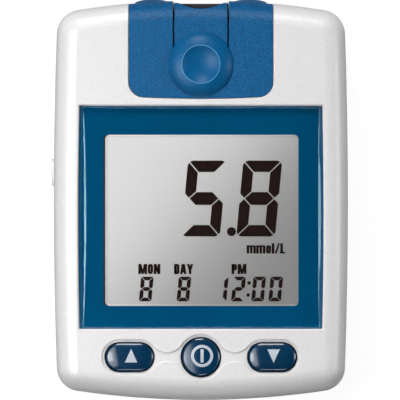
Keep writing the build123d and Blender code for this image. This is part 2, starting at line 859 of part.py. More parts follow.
def cap_section(half):
    """Half a section through a key cap, from its middle line out to its wall."""
    low = key_flange_z + key_flange_wall - merge
    top = case_depth + key_rise
    rim = (half - key_rim, top - key_dome_rise)
    wall = (half, rim[1] - key_rim_rise)
    radius = bow_radius(2 * rim[0], key_dome_rise)
    between = (rim[0] / 2, top - radius + sqrt(radius ** 2 - rim[0] ** 2 / 4))
    return make_face(
        [
            Line((0, low), (half, low)),
            Line((half, low), wall),
            Line(wall, rim),
            ThreePointArc(rim, between, (0, top)),
            Line((0, top), (0, low)),
        ]
    )


def make_key(name, x):
    """Cap with a bevelled rim and a domed face, on a flange."""
    height = round_key_diameter if name == "power" else pill_height
    section = cap_section(height / 2)
    cap = revolve(Plane.XZ * section, Axis.Z)
    if name != "power":
        offset = (pill_width - pill_height) / 2
        half_bar = extrude(Plane.YZ.offset(-offset) * section, 2 * offset)
        bar = half_bar + mirror(half_bar, Plane.XZ)
        cap = bar + Pos(-offset, 0) * cap + Pos(offset, 0) * cap
    flange = prism(key_outline(name, key_flange), key_flange_z, key_flange_z + key_flange_wall)
    return Pos(x, key_y) * (cap + flange)


def make_plunger(x):
    return post(x, key_y, plunger_diameter, carbon_z + carbon_thickness, key_flange_z)


def make_carbon_pill(x):
    return post(x, key_y, carbon_diameter, carbon_z, carbon_z + carbon_thickness)


def make_dome(x):
    """Thin cone of the mat that gives way when the key is pressed."""
    inner, outer = plunger_diameter / 2, plunger_diameter / 2 + dome_reach
    low = board_top + mat_wall / 2
    high = low + dome_rise
    corners = [(outer, low), (outer, low + dome_wall), (inner, high), (inner, high - dome_wall)]
    ring = revolve(Plane.XZ * make_face(Polyline(*corners, close=True)), Axis.Z)
    return Pos(x, key_y) * ring


def make_keypad_mat():
    mat = prism(Pos(0, key_y) * RectangleRounded(mat_width, mat_length, mat_corner), board_top, mat_top)
    for x in key_places.values():
        mat -= post(x, key_y, plunger_diameter + 2 * dome_reach, board_top - past, mat_top + past)
    return mat


def actuator_bar(x0, x1, grow=0.0):
    """Square bar along X at the side key's centre."""
    half = actuator_width / 2 + grow
    return block(x0, x1, side_key_y - half, side_key_y + half, side_key_z - half, side_key_z + half)


def make_side_key():
    inner = case_wall + part_gap - case_width / 2
    radius = bow_radius(side_key_dome_span, side_key_rise)
    face = Pos(radius - case_width / 2 - side_key_rise, side_key_y, side_key_z)
    key = side_key_slot() & face * Rot(90, 0, 0) * Cylinder(radius, 2 * side_key_length)
    key &= block(-case_width, inner + merge, -case_length, case_length, 0, case_depth)
    length, height = side_key_length + 2 * side_key_flange, side_key_height + 2 * side_key_flange
    flange = Plane.YZ.offset(inner) * Pos(side_key_y, side_key_z) * SlotOverall(length, height)
    stem = actuator_bar(inner + merge, switch_x - actuator_reach)
    return key + extrude(flange, side_key_flange_wall) + stem


def make_side_switch():
    y0, y1 = side_key_y - side_switch_length / 2, side_key_y + side_switch_length / 2
    body = block(switch_x, switch_x + side_switch_depth, y0, y1, board_z - side_switch_height, board_z)
    bore = actuator_length - actuator_reach + side_key_travel + slide_gap
    return body - actuator_bar(switch_x - past, switch_x + bore, part_gap)


def make_side_actuator():
    start = switch_x - actuator_reach
    return actuator_bar(start, start + actuator_length)


# ---- cells and door ---------------------------------------------------------------------

def make_battery_door():
    skin = case_block() - case_block(door_wall)
    door = skin & block(-door_half, door_half, key_end - past, door_high, -past, door_skirt)
    door += door_grooves()

    # latch tongue on a foot, over the edge of the doorway
    latch, root = latch_width / 2, door_high - latch_root
    door += block(-latch, latch, root, door_high + latch_reach, bay_floor, bay_floor + latch_wall)
    door += block(-latch, latch, root, door_high - merge, door_wall / 2, bay_floor + latch_wall)
    for step in range(grip_count):
        y = door_high - grip_from_edge - step * grip_pitch
        bar = SlotOverall(grip_length - step * grip_taper, grip_width)
        door -= prism(Pos(0, y) * bar, -past, grip_depth)
    return door


def make_battery(side):
    """One cell along Y; the positive nub points to +Y on the left and -Y on the right."""
    can_length = cell_length - cell_nub_length
    can = post(0, 0, cell_diameter, 0, can_length)
    can = chamfer(can.edges().filter_by(GeomType.CIRCLE), cell_edge)
    cell = can + post(0, 0, cell_nub_diameter, can_length - merge, cell_length)
    end_space = plate_wall + cell_spring_length + cell_gap
    if side < 0:
        return Pos(-cell_x, bay_low + end_space, cell_z) * Rot(-90, 0, 0) * cell
    return Pos(cell_x, bay_high - end_space, cell_z) * Rot(90, 0, 0) * cell


def make_battery_springs():
    spring = coil(cell_spring_diameter, cell_spring_wire, cell_spring_turns, cell_spring_length)
    low = Pos(-cell_x, bay_low + plate_wall, cell_z) * Rot(-90, 0, 0) * spring
    high = Pos(cell_x, bay_high - plate_wall, cell_z) * Rot(90, 0, 0) * spring
    return [low, high]


def make_battery_plates():
    """A link across both cells at one end; two plates with tabs to the board at the other."""
    low, high = cell_z - plate_height / 2, cell_z + plate_height / 2
    half, tab = plate_width / 2, tab_width / 2
    link_half = cell_x + half
    plates = [block(-link_half, link_half, bay_high - plate_wall, bay_high, low, high)]
    for side in (-1, 1):
        x, y = side * cell_x, bay_low + plate_wall
        plate = block(x - half, x + half, bay_low, y, low, high)
        plates.append(plate + block(x - tab, x + tab, bay_low, y, high - merge, board_z))
    return plates


# ---- board and fasteners ----------------------------------------------------------------

def make_main_pcb():
    middle_y = (board_low + board_high) / 2
    sketch = Pos(0, middle_y) * RectangleRounded(board_width, board_high - board_low, board_corner)
    board = prism(sketch & case_outline(case_wall + slide_gap), board_z, board_top)
    low, high = board_z - past, board_top + past

    # corners cut away round the case's bosses
    clear = case_screw_diameter / 2 + boss_wall + board_notch_gap
    for x, y in case_screw_places:
        out_x = board_width if x > 0 else -board_width
        out_y = case_length if y > 0 else -case_length
        in_x = x - clear if x > 0 else x + clear
        in_y = y - clear if y > 0 else y + clear
        board -= post(x, y, 2 * clear, low, high)
        board -= block(in_x, out_x, y, out_y, low, high)
        board -= block(x, out_x, in_y, out_y, low, high)
    for x, y in board_screw_places:
        board -= post(x, y, board_screw_diameter + 3 * screw_gap, low, high)
    wing = port_width / 2 + port_wing + slide_gap
    return board - block(-wing, wing, port_back - slide_gap, strip_end, low, high)


def make_microcontroller():
    x = bay_half + bay_wall + parts_from_bay + chip_size / 2
    half, reach, wide = chip_size / 2, chip_size / 2 + chip_lead_length, chip_lead_width / 2
    chip = block(-half, half, -half, half, -chip_height, -chip_standoff)
    pitch = chip_size / (chip_leads + 1)
    for index in range(chip_leads):
        step = pitch * (index + 1) - half
        chip += block(-reach, reach, step - wide, step + wide, -chip_lead_width, 0)
        chip += block(step - wide, step + wide, -reach, reach, -chip_lead_width, 0)
    return Pos(x, lens_y + chip_from_lens_middle, board_z) * chip


def make_pcb_components():
    """Crystal, capacitors and resistors on the back of the board, to the left of the bay."""
    x = -(bay_half + bay_wall + passive_from_bay)
    crystal = Pos(x, lens_y + crystal_from_lens_middle, board_z - crystal_diameter / 2)
    parts = [crystal * Rot(90, 0, 0) * Cylinder(crystal_diameter / 2, crystal_length)]
    for index in range(passive_count):
        y = lens_y + passive_from_lens_middle - passive_pitch * index
        outline = Pos(x, y) * Rectangle(passive_length, passive_width)
        parts.append(prism(outline, board_z - passive_height, board_z))
    return parts


def make_buzzer():
    x = bay_half + bay_wall + parts_from_bay + buzzer_diameter / 2
    y, low = lens_y + buzzer_from_lens_middle, board_z - buzzer_height
    body = post(x, y, buzzer_diameter, low, board_z)
    return body - post(x, y, buzzer_hole, low - past, low + buzzer_hole_depth)


def screw(diameter, head_diameter, head_height, length):
    """Screw along +Z with its chamfered, cross-recessed head below the origin plane."""
    head = post(0, 0, head_diameter, -head_height, 0)
    head = chamfer(head.edges().group_by(Axis.Z)[0], head_height / 3)
    shank = post(0, 0, diameter, -merge, length)
    arm, slot, deep = head_diameter * 0.56, head_diameter * 0.15, head_height / 2
    cross = Box(arm, slot, 2 * deep) + Box(slot, arm, 2 * deep)
    return head + shank - Pos(0, 0, -head_height) * cross


def make_case_screws():
    seat = case_screw_sunk + case_screw_head_height
    length = parting_z + case_screw_bite - seat
    one = screw(case_screw_diameter, case_screw_head_diameter, case_screw_head_height, length)
    return [Pos(x, y, seat) * one for x, y in case_screw_places]


def make_pcb_screws():
    length = board_thickness + board_screw_bite
    one = screw(board_screw_diameter, board_screw_head_diameter, board_screw_head_height, length)
    return [Pos(x, y, board_z) * one for x, y in board_screw_places]


# ---- all parts --------------------------------------------------------------------------

parts = {
    "front_case": make_front_case(),
    "rear_case": make_rear_case(),
    "top_cover": make_top_cover(),
    "port_insert": make_port_insert(),
    "strip_connector": make_strip_connector(),
    "strip_contacts": make_strip_contacts(),
    "ejector_slide": make_ejector_slide(),
    "ejector_knob": make_ejector_knob(),
    "ejector_springs": make_ejector_springs(),
    "display_lens": make_display_lens(),
    "lens_mask": make_lens_mask(),
    "lens_adhesive": make_lens_adhesive(),
    "lcd_front_polariser": display_plate(rear_glass_length, front_polariser_z, seat_z, polariser_margin),
    "lcd_front_glass": display_plate(front_glass_length, front_glass_z, front_polariser_z),
    "lcd_rear_glass": display_plate(rear_glass_length, rear_glass_z, front_glass_z),
    "lcd_rear_polariser": display_plate(rear_glass_length, rear_polariser_z, rear_glass_z, polariser_margin),
    "zebra_strips": make_zebra_strips(),
    "keypad_mat": make_keypad_mat(),
    "side_key": make_side_key(),
    "side_switch": make_side_switch(),
    "side_actuator": make_side_actuator(),
    "battery_door": make_battery_door(),
    "battery_1": make_battery(-1),
    "battery_2": make_battery(1),
    "battery_springs": make_battery_springs(),
    "battery_plates": make_battery_plates(),
    "main_pcb": make_main_pcb(),
    "microcontroller": make_microcontroller(),
    "pcb_components": make_pcb_components(),
    "buzzer": make_buzzer(),
    "case_screws": make_case_screws(),
    "pcb_screws": make_pcb_screws(),
}
for key_name, key_x in key_places.items():
    parts[key_name + "_key"] = make_key(key_name, key_x)
    parts[key_name + "_plunger"] = make_plunger(key_x)
    parts[key_name + "_carbon_pill"] = make_carbon_pill(key_x)
    parts[key_name + "_dome"] = make_dome(key_x)

os.makedirs("parts", exist_ok=True)
for node, shape in parts.items():
    pieces = shape if isinstance(shape, list) else [shape]
    solids = [solid for piece in pieces for solid in piece.solids()]
    export_step(Compound(children=solids), f"parts/{node}.step")
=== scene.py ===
import math

import bmesh
import bpy
import numpy as np
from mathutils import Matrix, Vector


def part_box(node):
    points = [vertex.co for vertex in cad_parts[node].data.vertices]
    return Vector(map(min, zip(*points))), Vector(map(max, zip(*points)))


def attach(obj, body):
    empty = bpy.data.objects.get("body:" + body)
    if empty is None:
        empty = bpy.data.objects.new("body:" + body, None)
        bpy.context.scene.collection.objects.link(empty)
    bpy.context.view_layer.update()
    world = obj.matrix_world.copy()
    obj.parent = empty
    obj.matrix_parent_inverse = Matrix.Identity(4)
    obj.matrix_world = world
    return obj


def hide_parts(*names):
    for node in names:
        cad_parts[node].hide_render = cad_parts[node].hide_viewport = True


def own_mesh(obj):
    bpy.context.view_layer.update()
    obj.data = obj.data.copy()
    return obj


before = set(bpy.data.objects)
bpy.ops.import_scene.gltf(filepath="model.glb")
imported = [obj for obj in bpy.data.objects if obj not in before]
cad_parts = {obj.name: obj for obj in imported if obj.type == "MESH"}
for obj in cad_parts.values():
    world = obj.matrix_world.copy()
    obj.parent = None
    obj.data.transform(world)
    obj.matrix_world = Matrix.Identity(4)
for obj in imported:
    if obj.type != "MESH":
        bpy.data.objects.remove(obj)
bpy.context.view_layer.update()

# A hand-held blood glucose meter lying on its back in a pale studio.
# The frame is the model's own: +X to the right, +Y to the strip port, +Z out of the display, with
# the origin under the middle of the case. Lengths in the dictionaries are millimetres, except for
# the side of the floor and the lamps, which are in metres.

mm = 0.001
mergeWithin = 0.0005  # places of a mesh closer than this become one


# Mesh work: every new surface is a grid of places worked out with numpy.

def nodeBox(node):
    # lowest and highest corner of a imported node, in millimetres
    low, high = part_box(node)
    return np.array(low) / mm, np.array(high) / mm


def gridFaces(rows, columns, wrapRows=False):
    # one quad between places (i, j) and (i + 1, j + 1) of a rows x columns grid whose columns
    # run round a closed outline; wrapRows joins the last row to the first
    i = np.arange(rows if wrapRows else rows - 1)
    j = np.arange(columns)
    i, j = np.meshgrid(i, j, indexing="ij")
    nextI, nextJ = (i + 1) % rows, (j + 1) % columns
    corners = (i * columns + j, i * columns + nextJ, nextI * columns + nextJ, nextI * columns + j)
    return np.stack(corners, axis=-1).reshape(-1, 4)


def patchFaces(steps):
    # the numbers of a steps x steps grid's places, and the quads between them, open at the edges
    index = np.arange(steps * steps).reshape(steps, steps)
    corners = (index[:-1, :-1], index[1:, :-1], index[1:, 1:], index[:-1, 1:])
    return index, np.stack(corners, axis=-1).reshape(-1, 4)


def closedRings(rings):
    # rings[i, j] is place j round ring i: quads between neighbours, and a cap at both ends
    rows, columns = rings.shape[:2]
    faces = gridFaces(rows, columns).tolist()
    faces.append(list(range(columns)))
    faces.append(list(range((rows - 1) * columns, rows * columns)))
    return rings.reshape(-1, 3), faces


def joined(parts):
    # several (places, faces) pairs as one pair
    places, faces, start = [], [], 0
    for partPlaces, partFaces in parts:
        places.append(partPlaces)
        faces.extend([[corner + start for corner in face] for face in partFaces])
        start += len(partPlaces)
    return np.concatenate(places), faces


def circle(count, start=0.0):
    # count directions (cos(turn), sin(turn)) evenly all round, the first at angle start
    turn = np.linspace(0, 2 * np.pi, count, endpoint=False) + start
    return np.stack((np.cos(turn), np.sin(turn)), axis=-1)


def swept(outline, outward, profile):
    # one ring for each (across, height) pair of a profile: outline + across * outward, at height
    across, height = np.asarray(profile, float).T
    rings = np.zeros((len(across), len(outward), 3))
    rings[:, :, :2] = outline + across[:, None, None] * outward
    rings[:, :, 2] = height[:, None]
    return rings


def carried(outline, outward, profile):
    # the closed tube that a closed profile makes round a closed outline
    rings = swept(outline, outward, profile)
    return rings.reshape(-1, 3), gridFaces(len(rings), len(outward), True).tolist()


def flatSolid(outline, low, high):
    # an outline of (x, y) places carried straight up from height low to height high
    return closedRings(swept(outline, 0 * outline, ((0, low), (0, high))))


def turned(profile, centre, count):
    # a profile of (radius, height) pairs turned in count steps about an upright axis at centre
    return closedRings(swept(centre, circle(count), profile))


def arc(centre, radius, start, end, count):
    # count places of a circle in the plane of a profile, from angle start to end in degrees
    turn = np.radians(np.linspace(start, end, count))
    return np.stack((centre[0] + radius * np.cos(turn), centre[1] + radius * np.sin(turn)), axis=-1)


def bowRadius(span, bow):
    # radius of the arc that rises by bow over a chord of span
    return ((span / 2) ** 2 + bow ** 2) / (2 * bow)


def makePiece(name, solid, material, body="case", stands=(), sharpAngle=35):
    # puts a (places, faces) pair into an object at the origin, merges what coincides, turns the
    # faces outwards, shades all but the sharp edges smooth and hands it to its body
    places, faces = solid
    mesh = bpy.data.meshes.new(name)
    mesh.from_pydata((places * mm).tolist(), [], faces)
    piece = bpy.data.objects.new(name, mesh)
    bpy.context.scene.collection.objects.link(piece)
    work = bmesh.new()
    work.from_mesh(mesh)
    bmesh.ops.remove_doubles(work, verts=work.verts, dist=mergeWithin * mm)
    bmesh.ops.recalc_face_normals(work, faces=work.faces)
    work.to_mesh(mesh)
    work.free()
    mesh.shade_smooth()
    mesh.set_sharp_from_angle(angle=math.radians(sharpAngle))
    mesh.materials.append(material)
    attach(piece, body)
    if stands:
        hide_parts(*stands)
    return piece


# Material work: each finish is one Principled shader, with patterns on Object coordinates.

class Graph:
    # the nodes of a material or of the world
    def __init__(self, tree):
        self.nodes, self.links = tree.nodes, tree.links

    def node(self, kind, values=None, **settings):
        made = self.nodes.new(kind)
        for setting, value in settings.items():
            setattr(made, setting, value)
        for socket, value in (values or {}).items():
            made.inputs[socket].default_value = value
        return made

    def link(self, start, end):
        self.links.new(start, end)

    def fed(self, kind, result, *values, **settings):
        # the result of a new node whose inputs are fed in turn, each with a value or with another
        # node's output
        made = self.node(kind, **settings)
        for socket, value in zip(made.inputs, values):
            if isinstance(value, bpy.types.NodeSocket):
                self.link(value, socket)
            else:
                socket.default_value = value
        return made.outputs[result]

    def maths(self, operation, *values):
        return self.fed("ShaderNodeMath", "Value", *values, operation=operation)

    def vectors(self, operation, *values, result="Vector"):
        return self.fed("ShaderNodeVectorMath", result, *values, operation=operation)

    def mixed(self, share, first, second):
        # the shader first where share is 0, second where it is 1
        return self.fed("ShaderNodeMixShader", "Shader", share, first, second)

    def spread(self, field, low, high, toLow, toHigh):
        # carries field's range low..high to toLow..toHigh
        return self.fed("ShaderNodeMapRange", "Result", field, low, high, toLow, toHigh)


class Finish(Graph):
    # a new material with plain values on its shader; the patterns are linked in afterwards
    def __init__(self, name, colour, roughness, **sockets):
        self.material = bpy.data.materials.new(name)
        self.material.use_nodes = True
        super().__init__(self.material.node_tree)
        self.shader = self.nodes["Principled BSDF"]
        self.surface = self.nodes["Material Output"].inputs["Surface"]
        self.base = self.shader.inputs["Base Color"]
        self.colour = colour
        self.base.default_value = (*colour, 1)
        self.shader.inputs["Roughness"].default_value = roughness
        for socket, value in sockets.items():
            self.shader.inputs[socket.replace("_", " ")].default_value = value
        self.place = self.node("ShaderNodeTexCoord").outputs["Object"]

    def noise(self, size, detail=2.0, stretch=(1, 1, 1)):
        # noise whose lumps are about size millimetres across, drawn out along an axis by stretch
        mapping = self.node("ShaderNodeMapping", {"Scale": [1 / (size * mm * s) for s in stretch]})
        field = self.node("ShaderNodeTexNoise", {"Scale": 1.0, "Detail": detail})
        self.link(self.place, mapping.inputs["Vector"])
        self.link(mapping.outputs["Vector"], field.inputs["Vector"])
        return field.outputs["Fac"]

    def blend(self, field, first, second, low=0.0, high=1.0):
        # the base colour goes from first to second as field goes from low to high
        ramp = self.node("ShaderNodeValToRGB")
        for element, position, colour in zip(ramp.color_ramp.elements, (low, high), (first, second)):
            element.position = position
            element.color = (*colour, 1)
        self.link(field, ramp.inputs["Fac"])
        self.link(ramp.outputs["Color"], self.base)

    def mottle(self, field, share, lift=1.0, low=0.35, high=0.65):
        # the base colour goes darker by share and lighter by share * lift with field
        dark = [c * (1 - share) for c in self.colour]
        light = [min(c * (1 + share * lift), 1) for c in self.colour]
        self.blend(field, dark, light, low, high)

    def dull(self, field, least, most, low=0.3, high=0.7):
        # the roughness goes from least to most as field goes from low to high
        self.link(self.spread(field, low, high, least, most), self.shader.inputs["Roughness"])

    def relief(self, field, depth, strength=1.0, edge=0.0):
        # bumps depth millimetres high, over edges rounded by edge millimetres
        bump = self.node("ShaderNodeBump", {"Strength": strength, "Distance": depth * mm})
        self.link(field, bump.inputs["Height"])
        if edge:
            rounding = self.node("ShaderNodeBevel", {"Radius": edge * mm}, samples=6)
            self.link(rounding.outputs["Normal"], bump.inputs["Normal"])
        self.link(bump.outputs["Normal"], self.shader.inputs["Normal"])

    def letLightThrough(self, *rays):
        # rays of the kinds named pass straight through, so that what lies behind is lit
        path = self.node("ShaderNodeLightPath")
        clear = self.node("ShaderNodeBsdfTransparent")
        for ray in rays:
            behind = self.surface.links[0].from_socket
            self.link(self.mixed(path.outputs[ray], behind, clear.outputs["BSDF"]), self.surface)


def grained(name, look, **sockets):
    # a finish from one dictionary: noise of three sizes for its shade, its gloss and its relief
    detail = look.get("detail", 2.0)
    finish = Finish(name, look["colour"], look["roughness"], **sockets)
    finish.mottle(finish.noise(look["cloud"], detail), look["share"], look.get("lift", 1.0))
    finish.dull(finish.noise(look["gloss"]), *look["dull"])
    finish.relief(finish.noise(look["grain"], detail), look["depth"], look["strength"],
                  look.get("edge", 0.0))
    return finish


def pearlCase():
    # near-white moulding with a fine satin grain
    look = {"colour": (0.87, 0.857, 0.858), "roughness": 0.34, "cloud": 0.24, "share": 0.06,
            "gloss": 0.44, "dull": (0.31, 0.38), "grain": 0.22, "depth": 0.007, "strength": 0.5,
            "edge": 0.2}
    return grained("pearlCase", look).material


def sparkBlue():
    # blue moulding with the even grain of a spark-eroded tool
    look = {"colour": (0.0023, 0.0905, 0.238), "roughness": 0.36, "specular": 0.18, "detail": 1.0,
            "cloud": 0.165, "share": 0.5, "lift": 1.8, "gloss": 0.2145, "dull": (0.32, 0.4),
            "grain": 0.165, "depth": 0.08, "strength": 0.7, "edge": 0.15}
    return grained("sparkBlue", look, Specular_IOR_Level=look["specular"]).material


def satinBlue():
    # the same blue off a smoother tool, with a painted highlight: lighter blue round the rim of the
    # knob's dish
    look = {"colour": (0.003, 0.112, 0.288), "roughness": 0.36, "specular": 0.14, "cloud": 0.2,
            "share": 0.22, "gloss": 0.2, "dull": (0.32, 0.4), "grain": 0.12, "depth": 0.012,
            "strength": 0.4, "paintedRimHighlight": (0.09, 0.32, 0.6), "centre": (0, 29.5, 0), "rim": 4.15,
            "rimWidth": 0.12}
    finish = grained("satinBlue", look, Specular_IOR_Level=look["specular"])
    fromCentre = finish.vectors("SUBTRACT", finish.place, [c * mm for c in look["centre"]])
    level = finish.vectors("MULTIPLY", fromCentre, (1, 1, 0))
    radius = finish.vectors("LENGTH", level, result="Value")
    fromRim = finish.maths("ABSOLUTE", finish.maths("SUBTRACT", radius, look["rim"] * mm))
    # painted highlight: a thin band round the dish's rim is tinted lighter blue
    paintedRimHighlight = finish.spread(fromRim, look["rimWidth"] * mm / 2, look["rimWidth"] * mm, 1, 0)
    tint = finish.node("ShaderNodeMix", data_type="RGBA")
    tint.inputs["B"].default_value = (*look["paintedRimHighlight"], 1)
    finish.link(paintedRimHighlight, tint.inputs["Factor"])
    finish.link(finish.base.links[0].from_socket, tint.inputs["A"])
    finish.link(tint.outputs["Result"], finish.base)
    return finish.material


def keyGloss():
    # deep blue cap with a polished face
    look = {"colour": (0.002, 0.036, 0.092), "roughness": 0.19, "coat": 0.2, "coatRoughness": 0.16,
            "wave": 3.0, "share": 0.1}
    finish = Finish("keyGloss", look["colour"], look["roughness"], Coat_Weight=look["coat"],
                    Coat_Roughness=look["coatRoughness"])
    finish.mottle(finish.noise(look["wave"]), look["share"])
    return finish.material


def clearAcrylic():
    # polished water-clear lens; what it mirrors is tinted a little blue
    look = {"colour": (1, 1, 1), "roughness": 0.03, "index": 1.49, "mirrored": (0.6, 0.93, 1.0, 1.0)}
    finish = Finish("clearAcrylic", look["colour"], look["roughness"], IOR=look["index"],
                    Transmission_Weight=1.0, Specular_Tint=look["mirrored"])
    finish.letLightThrough("Is Shadow Ray", "Is Diffuse Ray")
    return finish.material


def printedBlue():
    # blue ink on the back of the lens
    look = {"colour": (0.0006, 0.078, 0.185), "roughness": 0.6, "cloud": 18.0, "share": 0.05,
            "grain": 0.2, "depth": 0.004, "strength": 0.3}
    finish = Finish("printedBlue", look["colour"], look["roughness"], Specular_IOR_Level=0.0)
    finish.mottle(finish.noise(look["cloud"]), look["share"])
    finish.relief(finish.noise(look["grain"]), look["depth"], look["strength"])
    return finish.material


def displayGrey(name="displayGrey", lift=1.0):
    # brushed grey reflector with a painted reflection: its colour goes from light to dark across the
    # glass: with t the place in millimetres along the slope, the painted shade is 0.5 + 0.5 tanh((t -
    # middle) / width)
    look = {"light": 0.83, "dark": 0.275, "tone": (0.976, 0.998, 1.0), "roughness": 0.55,
            "specular": 0.1, "slope": (0.755, -0.656), "middle": 3.5, "width": 13.8,
            "line": 0.25, "stretch": (1, 6, 1), "depth": 0.003, "strength": 0.3}
    finish = Finish(name, (look["light"],) * 3, look["roughness"], Specular_IOR_Level=look["specular"])
    slope = (*[s / mm for s in look["slope"]], 0)
    along = finish.vectors("DOT_PRODUCT", finish.place, slope, result="Value")
    scaled = finish.maths("MULTIPLY_ADD", along, 1 / look["width"], -look["middle"] / look["width"])
    shades = [[min(shade * lift * tone, 1) for tone in look["tone"]]
              for shade in (look["light"], look["dark"])]
    # painted reflection: light at the glass's top left corner, dark at its bottom right
    finish.blend(finish.spread(finish.maths("TANH", scaled), -1, 1, 0, 1), *shades)
    finish.relief(finish.noise(look["line"], 1.0, look["stretch"]), look["depth"], look["strength"])
    return finish.material


def plainGrain(name, colour, roughness, grain, depth, share=0.06, edge=0.0, **sockets):
    # a finish with one grain, coarser for its shade and gloss
    look = {"colour": colour, "roughness": roughness, "cloud": grain * 2, "share": share,
            "gloss": grain * 3, "dull": (roughness * 0.9, min(roughness * 1.12, 1)),
            "grain": grain, "depth": depth, "strength": 0.5, "edge": edge}
    return grained(name, look, **sockets).material


def brushedMetal(name, colour, roughness, stretch):
    # drawn or plated metal: fine lines along one axis
    look = {"line": 0.08, "share": 0.12, "least": 0.85, "most": 1.2, "depth": 0.004, "strength": 0.4}
    finish = Finish(name, colour, roughness, Metallic=1.0)
    lines = finish.noise(look["line"], 1.0, stretch)
    finish.mottle(lines, look["share"])
    finish.dull(lines, roughness * look["least"], roughness * look["most"])
    finish.relief(lines, look["depth"], look["strength"])
    return finish.material


def insertPlastic():
    # black round the port, and the cover's blue under the slits beside the slider
    look = {"port": (0.008, 0.008, 0.011), "slits": (0.002, 0.07, 0.2), "split": 38.8, "soft": 0.1,
            "roughness": 0.5, "grain": 0.2, "depth": 0.02, "strength": 0.5, "edge": 0.1}
    finish = Finish("insertPlastic", look["port"], look["roughness"])
    y = finish.fed("ShaderNodeSeparateXYZ", "Y", finish.place)
    start, end = (look["split"] - look["soft"]) * mm, (look["split"] + look["soft"]) * mm
    finish.blend(finish.spread(y, start, end, 0, 1), look["slits"], look["port"])
    finish.relief(finish.noise(look["grain"]), look["depth"], look["strength"], look["edge"])
    return finish.material


def solderMask():
    # green board: bands of two shades under the lacquer, with a paler line between them
    look = {"colour": (0.015, 0.16, 0.055), "second": (0.012, 0.13, 0.045), "line": (0.03, 0.26, 0.09),
            "roughness": 0.35, "track": 1.1, "lineWidth": 0.12, "trackLength": 6.0,
            "depth": 0.02, "strength": 0.4}
    finish = Finish("solderMask", look["colour"], look["roughness"])
    bricks = finish.node("ShaderNodeTexBrick", {
        "Scale": 1 / (look["track"] * mm), "Mortar Size": look["lineWidth"],
        "Brick Width": look["trackLength"], "Row Height": 1.0, "Color1": (*look["colour"], 1),
        "Color2": (*look["second"], 1), "Mortar": (*look["line"], 1)})
    finish.link(finish.place, bricks.inputs["Vector"])
    finish.link(bricks.outputs["Color"], finish.base)
    finish.relief(bricks.outputs["Fac"], look["depth"], look["strength"])
    return finish.material


finishes = {
    "case": pearlCase(),
    "blue_cover": sparkBlue(),
    "blue_knob": satinBlue(),
    "key_plastic": keyGloss(),
    "clear_lens": clearAcrylic(),
    "printed_film": printedBlue(),
    "polariser": displayGrey(),
    "board": solderMask(),
    "spring_steel": brushedMetal("springSteel", (0.55, 0.55, 0.57), 0.28, (1, 1, 12)),
    "gold_contact": brushedMetal("goldContact", (0.83, 0.6, 0.24), 0.25, (1, 14, 1)),
    "component": brushedMetal("componentCan", (0.6, 0.6, 0.6), 0.35, (12, 1, 1)),
    "screw_steel": brushedMetal("screwSteel", (0.5, 0.5, 0.52), 0.3, (1, 1, 1)),
    "black_port": plainGrain("blackPort", (0.008, 0.008, 0.011), 0.5, 0.2, 0.02, edge=0.1),
    "tape": plainGrain("foamTape", (0.012, 0.012, 0.012), 0.9, 0.15, 0.05),
    "lcd_glass": plainGrain("displayGlass", (0.5, 0.53, 0.52), 0.05, 5.0, 0.002, 0.02),
    "zebra_rubber": plainGrain("zebraRubber", (0.6, 0.42, 0.45), 0.7, 0.12, 0.01, 0.25),
    "silicone": plainGrain("silicone", (0.38, 0.39, 0.41), 0.6, 0.2, 0.01),
    "carbon": plainGrain("carbonPill", (0.012, 0.012, 0.012), 0.8, 0.1, 0.02),
    "cell_jacket": plainGrain("cellJacket", (0.02, 0.02, 0.024), 0.25, 0.8, 0.004),
}
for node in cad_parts.values():
    slotName = node.data.materials[0].name
    node.data.materials[0] = finishes[slotName]
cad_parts["port_insert"].data.materials[0] = insertPlastic()
for film in ("lens_mask", "lens_adhesive"):
    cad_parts[film].visible_shadow = False
displayInk = plainGrain("displayInk", (0.02, 0.0115, 0.0105), 0.6, 0.3, 0.002, Specular_IOR_Level=0.0)
keyPrint = plainGrain("keyPrint", (0.55, 0.6, 0.68), 0.5, 0.2, 0.004)
# painted light: the bead carries the display's painted reflection made half as light again, so that it
# shows as a light line along the window's edge
beadGrey = displayGrey("beadGrey", 1.5)
print("finishes made")


# Display lens

